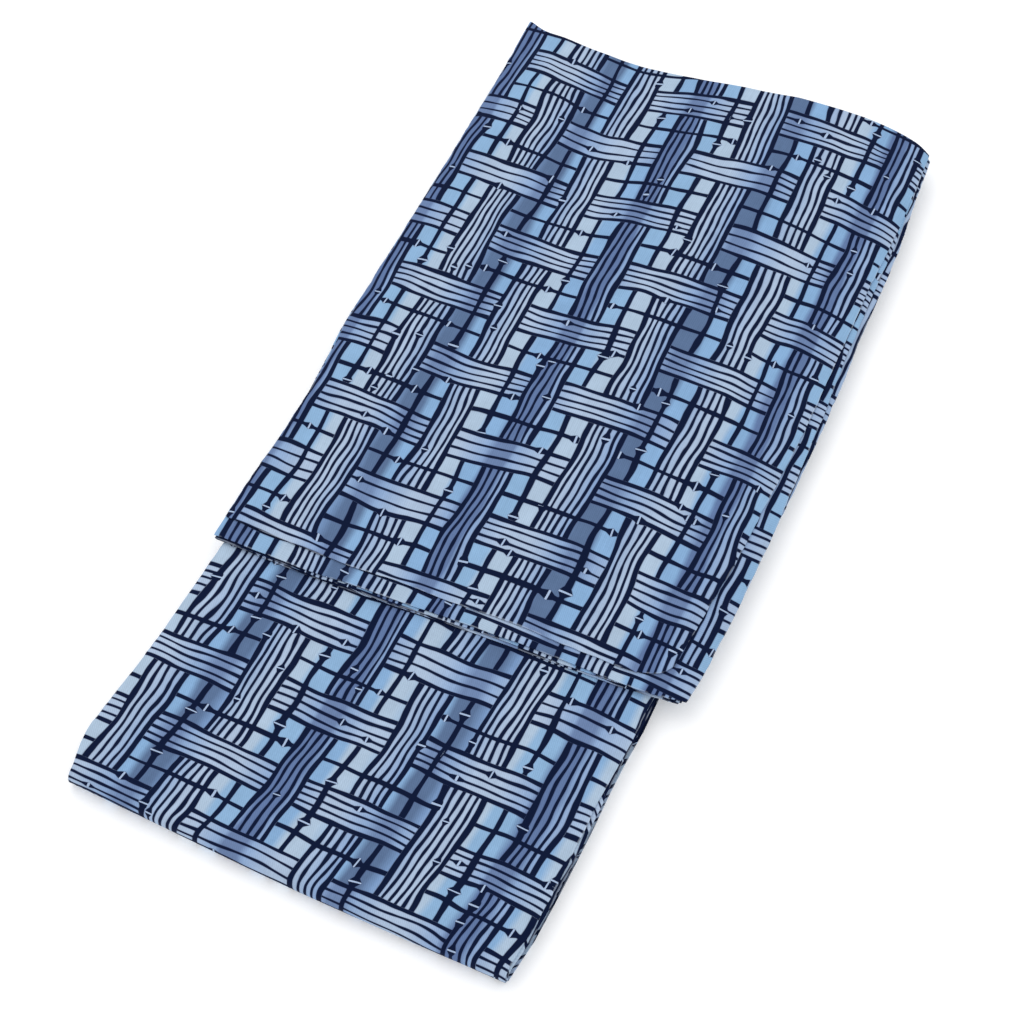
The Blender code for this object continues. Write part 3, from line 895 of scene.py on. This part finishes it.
# %% One printed cotton
def printed_cotton(name, seed, tone_and_shade, band_shift):
    material = bpy.data.materials.new(name)
    material.use_nodes = True
    tree = material.node_tree
    shader = tree.nodes["Principled BSDF"]
    uv_map = tree.nodes.new("ShaderNodeUVMap")
    uv_map.uv_map = "cloth"
    cloth = uv_map.outputs["UV"]
    chart = tree.nodes.new("ShaderNodeGroup")
    chart.node_tree = print_tree
    chart.inputs["Seed"].default_value = seed
    chart.inputs["Band shift"].default_value = band_shift
    tree.links.new(cloth, chart.inputs["Cloth"])
    printed = dyed_ground(tree, cloth, chart)
    printed = colour_mix(tree, chart.outputs["Halo"], printed, dye(HALO))
    printed = colour_mix(tree, chart.outputs["Ink"], printed, dye(INK))
    printed = pale_hems(tree, cloth, printed)
    # The tone scales the whole print; for the hidden layers it also holds painted shade
    toned = colour_mix(tree, 1.0, printed, grey(tone_and_shade), "MULTIPLY")
    tree.links.new(toned, shader.inputs["Base Color"])
    for title, value in FINISH.items():
        shader.inputs[title].default_value = value
    weave_relief(tree, cloth, shader)
    print(name, "dyed, with", len(tree.nodes), "nodes of its own")
    return material


# %% Dye the cloths
TONE = 0.9
# The hidden layers get the same cotton a little darker: painted shade inside the stack
INNER_SHADED_TONE = TONE * 0.93
SLEEVE_BANDS, BODY_BANDS = 0.6, 5.0
body_cotton = printed_cotton("body_cotton", 2.0, TONE, BODY_BANDS)
left_sleeve_cotton = printed_cotton("left_sleeve_cotton", 0.0, TONE, SLEEVE_BANDS)
right_sleeve_cotton = printed_cotton("right_sleeve_cotton", 5.0, TONE, SLEEVE_BANDS)
# The inner cotton is the body's print darkened, as painted shade between the hidden folds
inner_shaded_cotton = printed_cotton("inner_shaded_cotton", 9.0, INNER_SHADED_TONE, BODY_BANDS)
collar_cotton = printed_cotton("collar_cotton", 13.0, TONE, BODY_BANDS)

# %% [markdown]
# ## The sleeves
# A yukata's sleeve is one cloth folded at the shoulder line, with a front leaf and a back leaf. It lies
# flat on the body, so each sleeve is one sheet: it starts at the hem of its lower leaf, runs to the
# shoulders, turns back on itself, and ends at the hem of its upper leaf. The hems roll down a little.

# %% Hems and edges
# How far in from a hem, in millimetres, the cloth turns paler
HEM_PALE_REACH = 6
HEM_ROLL = 3.2
HEM_DROP = 0.5

# How a cut edge wanders: by how much, over what length, and where its noise starts
EDGE_WAVES = ((0.9, 47, 0.5), (0.4, 13, 4.5), (0.45, 5.3, 8.5))


def hem_share(*distances):
    """1 at a cut or sewn edge, down to 0 a few millimetres in."""
    return max(1 - min(distances) / HEM_PALE_REACH, 0.0)


def hem_drop(*distances):
    near = max(1 - min(distances) / HEM_ROLL, 0.0)
    return HEM_DROP * near**2


def edge_wave(place, seed, size=1.0):
    """How a cut edge wanders along its length."""
    return size * sum(
        high * noise.noise((place / length, seed, start)) for high, length, start in EDGE_WAVES
    )


print("a hem drops by", hem_drop(0), "mm, and 100 mm along an edge wanders", round(edge_wave(100, 31), 2))

# %% [markdown]
# ## Leaves and folds
# A leaf is laid out row by row between its four edges, at its own height plus the drape. A fold goes from a
# leaf's last row to the next leaf's first in a half round. Where the edge runs at a slant, the half round
# stands out further, so that the fold keeps its thickness.

# %% Rows of a leaf and of a fold
# The share of a leaf over which its edges calm down before a fold, and how many times further than its
# depth a slanting fold may stand out
FOLD_CALM = 0.08
STEEPEST = 2.0
print("edges calm down over the last", FOLD_CALM, "of a leaf")


def flat_rows(shares, columns, left, right, near, far, level, chart, seed, near_hem):
    """The rows of a flat leaf, from its near line to its far line, where its edges meet a fold."""
    rows = []
    length = far(0.5) - near(0.5)
    for share in shares:
        x_left, x_right = left(share), right(share)
        calm = soft_step((1 - share) / FOLD_CALM)
        x_left += calm * edge_wave(share * length, seed)
        x_right += calm * edge_wave(share * length, seed + 2)
        points, charts, hem = [], [], []
        for column in columns:
            x = mix(x_left, x_right, column)
            low, high = near(column), far(column)
            y = mix(low, high, share)
            sides = (column * (x_right - x_left), (1 - column) * (x_right - x_left))
            ends = [y - low] if near_hem else []
            points.append((x, y, level + drape(x, y) - hem_drop(*sides, *ends)))
            charts.append(chart(x, y, column, share))
            hem.append(hem_share(*sides, *ends))
        rows.append(Row(points, charts, hem))
    return rows


def fold_reaches(points, depth):
    """How far a fold stands out at each of its points: further where its edge runs at a slant."""
    reaches = []
    for k in range(len(points)):
        before, after = points[max(k - 1, 0)], points[min(k + 1, len(points) - 1)]
        slope = (after[1] - before[1]) / (after[0] - before[0])
        reaches.append(depth * min(math.hypot(1, slope), STEEPEST))
    return reaches


def fold_rows(first, last, depth, steps, chart_step):
    """The rows of a fold from one leaf's last row to the next leaf's first, standing out by depth."""
    reaches = fold_reaches(first.points, depth)
    rows = []
    for step in range(1, steps):
        angle = math.pi * step / steps
        points, charts = [], []
        for a, b, place, reach in zip(first.points, last.points, first.chart, reaches):
            middle_y, middle_z, rise = (a[1] + b[1]) / 2, (a[2] + b[2]) / 2, (a[2] - b[2]) / 2
            x = mix(a[0], b[0], step / steps)
            points.append((x, middle_y + reach * math.sin(angle), middle_z + rise * math.cos(angle)))
            charts.append((place[0], place[1] + chart_step * step / steps))
        rows.append(Row(points, charts, first.hem))
    return rows


# %% [markdown]
# ## Where the print lies on a sleeve
# Printed cloth stretches and skews as it is folded, so the bundles aren't quite straight and the rows
# wave. Two short tables say where the seven bundles and the rows of the sleeve lie, and the chart is
# stretched to suit. The lower leaf slipped sideways when the sleeve was folded.

# %% Where the print lies on a sleeve
# The middles of seven bundles near the shoulders, near the hem, and how far they bow between the two
BUNDLE_PLACES = (
    (-169.5, -157.2, 0), (-119, -105.8, -1), (-68, -55.9, 0), (-20.1, -8.8, 1), (29.3, 43.3, 2),
    (83.7, 98, 3), (135.8, 146.6, 1),
)
PLACES_HIGH, PLACES_LOW = 347.0, -117.0
OUTER_PITCH = 50.7

# How the rows wave across the sleeve by the shoulders, how soon that fades, and the crown nearer the hem
FIRST_ROW, ROW_STEP = 330.0, 59.9
PRINT_WAVE = (
    (0, -3), (0.16, -7.2), (0.29, -11), (0.36, -8.3), (0.47, 2.3), (0.56, 9), (0.67, 12.8), (0.78, 10.6),
    (0.89, 5.3), (1, 1),
)
WAVE_FADE = 230
CROWN, CROWN_LOW = 3.5, 1.5
CROWN_MIDDLE, CROWN_HALF = 190, 80

# The lower leaf: the print's way round the fold, its slip on the left and the right, and its own stretch
SLEEVE_ROUND = 2.5
LEAF_SLIP, LEAF_SLIP_RIGHT = 15.0, 10.5
SLIP_START, SLIP_RISE, SLIP_LENGTH = 0.62, 0.36, 300
LEVEL_LENGTH = 220
LEAF_FOLD = 361.0
LEAF_STRETCH = 1.026


def chart_across(x, y):
    """The cloth's own place across, from where the bundles lie."""
    share = (PLACES_HIGH - y) / (PLACES_HIGH - PLACES_LOW)
    rows = []
    for number, (high, low, bow) in enumerate(BUNDLE_PLACES):
        rows.append((mix(high, low, share) + 4 * bow * share * (1 - share), number * COLUMN_PITCH))
    rows.insert(0, (rows[0][0] - OUTER_PITCH, -COLUMN_PITCH))
    rows.append((rows[-1][0] + OUTER_PITCH, len(BUNDLE_PLACES) * COLUMN_PITCH))
    return stray(rows, x)


def chart_along(y, across):
    """The cloth's own place along. Its rows follow the shoulder fold's wave and flatten away from it."""
    fade = math.exp(min(y - FIRST_ROW, 0.0) / WAVE_FADE)
    off = (across * SLEEVE_WIDTH - CROWN_MIDDLE) / CROWN_HALF
    crown = CROWN * math.exp(-(off**2)) - CROWN_LOW
    wave = stray(PRINT_WAVE, across) * fade + crown * (1 - fade)
    return ROW_PITCH * (1 + (FIRST_ROW - y + wave) / ROW_STEP)


print("the print starts at", round(chart_along(357, 0.5), 1), "mm of its chart by the shoulders")


# %% The lines of a sleeve
LOWER_STEP, UPPER_STEP = 6, 4
FOLD_STEPS = 10
HEM_WAVE = 0.7


def shoulder_line(across):
    return BODY_LENGTH / 2 + stray(SHOULDER_STRAY, across)


def sleeve_left_line(share):
    return -BODY_WIDTH / 2 - SLEEVE_OVERHANG - share * SLEEVE_LENGTH * SLEEVE_TURN


print("the sleeves start", round(-sleeve_left_line(1), 1), "mm left of the middle at the shoulders")


# %% One sleeve
def sleeve(name, lower, upper, levels, reach, material, seed, start):
    """A folded sleeve, its fold set back by reach and its print started at a place on the chart."""
    def far(across):
        return shoulder_line(across) - reach

    def upper_chart(x, y, column, share):
        return chart_across(x, y) + start[0], chart_along(y, column) + start[1]

    def lower_chart(x, y, column, share):
        down = far(column) - y
        most = mix(LEAF_SLIP, LEAF_SLIP_RIGHT, soft_step((column - SLIP_START) / SLIP_RISE))
        slip = most * soft_step(down / SLIP_LENGTH)
        level_out = soft_step(down / LEVEL_LENGTH)
        fold = mix(far(column), LEAF_FOLD, level_out)
        along = chart_along(fold, mix(column, 0.5, level_out)) - SLEEVE_ROUND - LEAF_STRETCH * (fold - y)
        return chart_across(x - slip, y) + start[0], along + start[1]

    def leaf(shape, level, shares, chart):
        def near(across):
            wave = edge_wave(across * SLEEVE_WIDTH, seed + 9 + level, HEM_WAVE)
            return BODY_LENGTH / 2 - SLEEVE_LENGTH + stray(shape.near, across) + wave

        def left(share):
            return sleeve_left_line(share) + stray(shape.left, share)

        def right(share):
            return sleeve_left_line(share) + SLEEVE_WIDTH + stray(shape.right, share)

        return flat_rows(
            shares, SLEEVE_COLUMNS, left, right, near, far, level, chart, seed + level, near_hem=True
        )

    under = leaf(lower, levels[0], places(SLEEVE_LENGTH, LOWER_STEP, (True, False)), lower_chart)
    over = leaf(upper, levels[1], places(SLEEVE_LENGTH, UPPER_STEP, (True, False)), upper_chart)[::-1]
    rows = under + fold_rows(under[-1], over[0], PITCH / 2, FOLD_STEPS, SLEEVE_ROUND) + over
    return cloth_piece(name, rows, material)


# %% Lay both sleeves
sleeve_right = sleeve(
    "sleeve_right_cloth", RIGHT_SLEEVE_LOWER, RIGHT_SLEEVE_UPPER, RIGHT_SLEEVE_LEVELS,
    reach=1.5, material=right_sleeve_cotton, seed=31, start=(22.0, 17.0),
)
sleeve_left = sleeve(
    "sleeve_left_cloth", LEFT_SLEEVE_LOWER, LEFT_SLEEVE_UPPER, LEFT_SLEEVE_LEVELS,
    reach=0.0, material=left_sleeve_cotton, seed=57, start=(0.0, 0.0),
)

# %% [markdown]
# ## The body
# The left body length is one cloth for back and front, with no seam at the shoulder. The back starts at
# its hem under the whole stack, rounds the waist fold and runs up to the shoulders. There it turns in on
# itself and comes back as the front, inside its own waist fold, to lie on the back under the stack.

# %% The lines of the body
def body_shoulder(across):
    return shoulder_line(across) - SHOULDER_INSET


def waist_start(across):
    return stray(WAIST_STRAY, across) - BODY_LENGTH / 2 + WAIST_BULGE + SOLID_CLOTH / 2


def body_left_line(share):
    return stray(BODY_LEFT_STRAY, share) - BODY_WIDTH / 2


def body_right_line(share):
    return stray(BODY_RIGHT_STRAY, share) + BODY_WIDTH / 2


def front_right_line(share):
    return stray(FRONT_RIGHT_STRAY, share) + BODY_WIDTH / 2


print("the body is", round(body_shoulder(0.5) - waist_start(0.5), 1), "mm long between its folds")

# %% [markdown]
# ## Where the print lies on the body
# The print is turned half round on the body, where the cloth runs the other way. Towards the waist its
# middle bundle bends to the left, and its rows close up. A place on the body is known by its way along the
# cloth from a line below the sleeves, over the shoulder fold on one side and round the waist on the other.

# %% The body's chart
CHART_LINE = -252.0
WAIST_ROUND = 21.0
FRONT_ROUND = 15.0
SHOULDER_ROUND = 2.5

MIDDLE_COLUMN = 3
MIDDLE_OFF = 21.6
BEND = 7
BEND_START, BEND_LENGTH, BEND_MOST = 80, 163, 1.15
LEFT_STRETCH, LEFT_GROWTH = 1.004, 0.00043

# Rows a millimetre at the chart line, on the left and the right, and how that grows between two places
ROW_RATE = (0.0184, 0.0170)
ROW_GROWTH = (1.55e-5, 0.98e-5)
GROWTH_FROM, GROWTH_TO = -61.0, 110.0


def body_chart(x, path, across):
    """Where a place on the body lies on the print's chart, which is turned half round there."""
    bend = min(max((path + BEND_START) / BEND_LENGTH, 0.0), BEND_MOST)
    off = x + MIDDLE_OFF + BEND * bend**3
    step, growth = mix(*ROW_RATE, across), mix(*ROW_GROWTH, across)
    near = min(max(path, GROWTH_FROM), GROWTH_TO)
    rows_down = step * near + growth * near**2 + (step + 2 * growth * near) * (path - near)
    chart_x = MIDDLE_COLUMN * COLUMN_PITCH - off / (LEFT_STRETCH + LEFT_GROWTH * max(-off, 0.0))
    return chart_x, ROW_PITCH * (1 - rows_down)


def back_path(y, across):
    return CHART_LINE - y


def back_under_path(y, across):
    return back_path(waist_start(across), across) + WAIST_ROUND + y - waist_start(across)


def front_path(y, across):
    return back_path(body_shoulder(across), across) - SHOULDER_ROUND - body_shoulder(across) + y


def front_under_path(y, across):
    return front_path(waist_start(across), across) - FRONT_ROUND - y + waist_start(across)


print("the chart's middle is at", [round(place, 1) for place in body_chart(0, 0, 0.5)], "mm")

# %% Lay the body length
LEAF_LENGTH = BODY_LENGTH - 20
BACK_STEP, FRONT_STEP, UNDER_STEP = 4, 9, 26
BACK_SEED, FRONT_SEED = 71, 83
WAIST_STEPS, FRONT_WAIST_STEPS = 18, 16


def body_leaf(right, level, pitch, draped, path, seed):
    """One leaf's rows, with the way along the cloth from the chart's line in their charts."""
    def chart(x, y, column, share):
        return x, path(y, column)

    rows = flat_rows(
        places(LEAF_LENGTH, pitch, (False, False)), BODY_COLUMNS, body_left_line, right, waist_start,
        body_shoulder, level, chart, seed, near_hem=False,
    )
    if draped:
        return rows
    return [Row([(x, y, level) for x, y, z in row.points], row.chart, row.hem) for row in rows]


back_under = body_leaf(body_right_line, BACK_UNDER, UNDER_STEP, False, back_under_path, BACK_SEED)[::-1]
back_top = body_leaf(body_right_line, BACK_TOP, BACK_STEP, True, back_path, BACK_SEED)
front_top = body_leaf(front_right_line, FRONT_TOP, FRONT_STEP, True, front_path, FRONT_SEED)[::-1]
front_under = body_leaf(front_right_line, FRONT_UNDER, UNDER_STEP, False, front_under_path, FRONT_SEED)
rows = list(back_under)
rows += fold_rows(back_under[-1], back_top[0], -WAIST_BULGE, WAIST_STEPS, -WAIST_ROUND)
rows += back_top
rows += fold_rows(back_top[-1], front_top[0], PITCH / 2, FOLD_STEPS, -SHOULDER_ROUND)
rows += front_top
rows += fold_rows(
    front_top[-1], front_under[0], PITCH - WAIST_BULGE, FRONT_WAIST_STEPS, -FRONT_ROUND
)
rows += front_under
printed = []
for row in rows:
    charts = [body_chart(x, path, across) for (x, path), across in zip(row.chart, BODY_COLUMNS)]
    printed.append(Row(row.points, charts, row.hem))
body_length = cloth_piece("body_left_cloth", printed, body_cotton)

# %% [markdown]
# ## The collar and the hidden layers
# The collar's neck stretch is a band of the same cotton, folded double between the body's leaves by the
# shoulders. The layers inside show only at the edges, as one fold of cloth above the other, so they are
# one closed shape whose rim is modelled fold by fold.

# %% Lay the collar
COLLAR_SPAN = (52, 138)
COLLAR_WIDTH = 55
COLLAR_LEVELS = (12.75, 14.05)
COLLAR_COLUMNS = 30
COLLAR_CLEAR = 3
COLLAR_STEP = 4
COLLAR_FOLD = 0.7
COLLAR_ROUND = 2.5

# How uneven it is: the height, the size across and along, and where the noise starts
COLLAR_UNEVEN = (0.12, 9, 30, 1.5)


def collar_leaf(level):
    size, across, along, start = COLLAR_UNEVEN
    shoulder = min(body_shoulder((x + BODY_WIDTH / 2) / BODY_WIDTH) for x in COLLAR_SPAN)
    rows = []
    for share in places(COLLAR_WIDTH, COLLAR_STEP, (True, False)):
        points, charts = [], []
        for k in range(COLLAR_COLUMNS + 1):
            x = mix(*COLLAR_SPAN, k / COLLAR_COLUMNS)
            y = shoulder - COLLAR_CLEAR - COLLAR_WIDTH * (1 - share)
            points.append((x, y, level + size * noise.noise((x / across, y / along, start))))
            charts.append((y, x))
        rows.append(Row(points, charts, [0.0] * len(points)))
    return rows


collar_low = collar_leaf(COLLAR_LEVELS[0])
collar_high = collar_leaf(COLLAR_LEVELS[1])[::-1]
rows = list(collar_low)
rows += fold_rows(collar_low[-1], collar_high[0], COLLAR_FOLD, FOLD_STEPS, COLLAR_ROUND)
rows += collar_high
collar = cloth_piece("collar_cloth", rows, collar_cotton)

# %% [markdown]
# ## The rim of the hidden layers
# Seen from the side, a folded stack is a pile of round folds with thin grooves between them, no two alike.
# Each row of the table is one such fold: its low and high side, and how far it is set back. Rings of points
# run round the stack at each height, and the spaces between them will be the faces.

# %% One ring of the rim
Layer = namedtuple("Layer", "low high inset")
LAYERS = (
    Layer(3.1, 4.5, 0.6),
    Layer(4.5, 5.6, 1.5),
    Layer(5.6, 7.3, 0.2),
    Layer(7.3, 8.4, 1.2),
    Layer(8.4, 9.6, 0.4),
    Layer(9.6, 10.8, 1.6),
    Layer(10.8, 11.85, 0.8),
)
GROOVE = 1.7
ROUND_STEPS = 6
RIM_ACROSS = 60
RIM_ALONG = 130
RIM_MARGIN = 3
RIM_WAVE = 1.3
LAYER_SEED = 1.7

# Where the print's chart has the rim's sides and its far end, and how steeply it climbs the rim
SIDE_CHART, END_CHART = 160, 400
CHART_CLIMB = 2


def rim_points(height, inset, seed):
    """The outline of the hidden layers at one height: x, y, height and its place on the chart."""
    middle, half = (HIDDEN_BASE + HIDDEN_TOP) / 2, (HIDDEN_TOP - HIDDEN_BASE) / 2
    off = min(abs(height - middle) / half, 1.0)
    bulge = (WAIST_BULGE - 2 * PITCH) * math.sqrt(1 - off**2)
    margin = RIM_MARGIN + inset
    climb = CHART_CLIMB * height
    points = []
    for k in range(RIM_ACROSS):
        across = k / RIM_ACROSS
        x = mix(body_left_line(0) + margin, body_right_line(0) - margin, across)
        points.append((x, waist_start(across) - bulge, x, climb))
    for k in range(RIM_ALONG):
        share = k / RIM_ALONG
        y = mix(waist_start(1.0), body_shoulder(1.0) - margin, share)
        x = body_right_line(share) - margin + edge_wave(y, seed, RIM_WAVE)
        points.append((x, y, SIDE_CHART + climb, -y))
    for k in range(RIM_ACROSS):
        across = 1 - k / RIM_ACROSS
        x = mix(body_left_line(1) + margin, body_right_line(1) - margin, across)
        y = body_shoulder(across) - margin + edge_wave(x, seed + 3, RIM_WAVE)
        points.append((x, y, x, END_CHART + climb))
    for k in range(RIM_ALONG):
        share = 1 - k / RIM_ALONG
        y = mix(waist_start(0.0), body_shoulder(0.0) - margin, share)
        x = body_left_line(share) + margin - edge_wave(y, seed + 6, RIM_WAVE)
        points.append((x, y, -SIDE_CHART - climb, -y))
    points.append(points[0][:2] + (-SIDE_CHART - climb, -points[0][1]))
    return [(x, y, height, u, v) for x, y, u, v in points]


print("the rim has", len(LAYERS), "folds between", LAYERS[0].low, "and", LAYERS[-1].high, "mm")

# %% Shape the rim of the hidden layers
rings = []
for number, layer in enumerate(LAYERS):
    for step in range(ROUND_STEPS + 1):
        angle = math.pi * step / ROUND_STEPS
        height = mix(layer.low, layer.high, 0.5 - math.cos(angle) / 2)
        inset = layer.inset + GROOVE * (1 - math.sin(angle))
        rings.append(rim_points(height, inset, number * LAYER_SEED))
print(len(rings), "rings of", len(rings[0]), "points")

# %% [markdown]
# ## Closing the hidden layers
# A flat grid is bent into the rings. Where its two ends meet, doubles are merged, and the open top and
# bottom are filled, so the shape is closed. Those two faces get the cloth's coordinates from above.

# %% Close the hidden layers
MERGE_WITHIN = 0.02 * MM
around, up = len(rings[0]) - 1, len(rings) - 1
bpy.ops.mesh.primitive_grid_add(x_subdivisions=around, y_subdivisions=up, size=1, calc_uvs=True)
hidden = bpy.context.object
hidden.name = hidden.data.name = "hidden_layers_cloth"
chart = []
for vertex in hidden.data.vertices:
    place = rings[round((vertex.co.y + 0.5) * up)][round((vertex.co.x + 0.5) * around)]
    vertex.co = spot(*place[:3])
    chart.append(place[3:])
layer = hidden.data.uv_layers.active
layer.name = "cloth"
for loop in hidden.data.loops:
    layer.data[loop.index].uv = [place * MM for place in chart[loop.vertex_index]]
bpy.ops.object.mode_set(mode="EDIT")
bpy.ops.mesh.select_all(action="SELECT")
bpy.ops.mesh.remove_doubles(threshold=MERGE_WITHIN)
bpy.ops.mesh.fill_holes(sides=0)
bpy.ops.mesh.normals_make_consistent(inside=False)
bpy.ops.object.mode_set(mode="OBJECT")
layer = hidden.data.uv_layers["cloth"]
for face in hidden.data.polygons:
    if len(face.vertices) > 4:
        for index in face.loop_indices:
            layer.data[index].uv = hidden.data.vertices[hidden.data.loops[index].vertex_index].co.xy
# The darker inner cotton paints shade on the hidden layers
hidden.data.materials.append(inner_shaded_cotton)
bpy.ops.object.shade_smooth_by_angle(angle=SMOOTH_ANGLE)
hidden.select_set(False)
print("hidden layers:", len(hidden.data.polygons), "faces")

# %% [markdown]
# ## Riding and replacing
# Each sheet stands for its plain solid in the frame, which is hidden, and rides on the robe's one body.

# %% Tie the pieces to the frame
for piece, node, slot in (
    (body_length, "body_left", "body_cloth"),
    (hidden, "hidden_layers", "inner_cloth"),
    (collar, "collar", "collar_cloth"),
    (sleeve_right, "sleeve_right", "right_sleeve_cloth"),
    (sleeve_left, "sleeve_left", "left_sleeve_cloth"),
):
    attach(piece, "root")
    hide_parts(node)

# %% [markdown]
# ## Floor, light and camera
# The photo is a plain studio shot on white. A pale floor and a pale world give its even light. The floor
# also glows a little, which keeps its shadow faint. One big soft lamp at the far left shows the folds, and a
# weak one at the near right fills their shade. The camera looks down at 54 degrees from the near right.

# %% Floor
FLOOR_HEIGHT = -0.3 * MM
FLOOR_GLOW = 0.2
bpy.ops.mesh.primitive_plane_add(size=12, location=(0, 0, 0))
floor = bpy.context.object
floor.name = "floor"
floor.data.transform(floor.matrix_world)
floor.matrix_world.identity()
for vertex in floor.data.vertices:
    vertex.co.z = FLOOR_HEIGHT
paper = bpy.data.materials.new("pale_paper")
paper.use_nodes = True
paper_shader = paper.node_tree.nodes["Principled BSDF"]
paper_shader.inputs["Base Color"].default_value = (0.9, 0.9, 0.9, 1)
paper_shader.inputs["Roughness"].default_value = 1.0
paper_shader.inputs["Specular IOR Level"].default_value = 0.0
paper_shader.inputs["Emission Color"].default_value = (1, 1, 1, 1)
paper_shader.inputs["Emission Strength"].default_value = FLOOR_GLOW
floor.data.materials.append(paper)
print("the floor is", round(-FLOOR_HEIGHT / MM, 2), "mm under the cloth")

# %% Light
WORLD_LIGHT = 0.94
world = bpy.data.worlds.new("studio")
bpy.context.scene.world = world
world.use_nodes = True
world.node_tree.nodes["Background"].inputs["Color"].default_value = (0.97, 0.98, 1.0, 1)
world.node_tree.nodes["Background"].inputs["Strength"].default_value = WORLD_LIGHT


def soft_lamp(name, place, size, power):
    """A square lamp that points at the middle of the garment."""
    data = bpy.data.lights.new(name, "AREA")
    data.size = size
    data.energy = power
    lamp = bpy.data.objects.new(name, data)
    bpy.context.scene.collection.objects.link(lamp)
    lamp.location = place
    lamp.rotation_euler = (-Vector(place)).to_track_quat("-Z", "Y").to_euler()
    print(name, "lamp:", power, "watts,", size, "m across")


soft_lamp("key", (-1.2, 0.8, 2.0), 2.4, 16)
soft_lamp("fill", (1.4, -1.5, 1.9), 1.8, 5)
bpy.context.scene.view_settings.view_transform = "Standard"
bpy.context.scene.view_settings.look = "None"

# %% Camera
AZIMUTH, ELEVATION = math.radians(25.5), math.radians(54.0)
DISTANCE = 1.50
LENS, SENSOR = 80, 36
forward = Vector((
    -math.sin(AZIMUTH) * math.cos(ELEVATION),
    math.cos(AZIMUTH) * math.cos(ELEVATION),
    -math.sin(ELEVATION),
))
target = spot(10, -60, 10)
camera_data = bpy.data.cameras.new("camera")
camera_data.lens = LENS
camera_data.sensor_width = SENSOR
camera = bpy.data.objects.new("camera", camera_data)
bpy.context.scene.collection.objects.link(camera)
camera.location = target - forward * DISTANCE
camera.rotation_euler = forward.to_track_quat("-Z", "Y").to_euler()
bpy.context.scene.camera = camera
print("camera at", [round(place, 3) for place in camera.location])
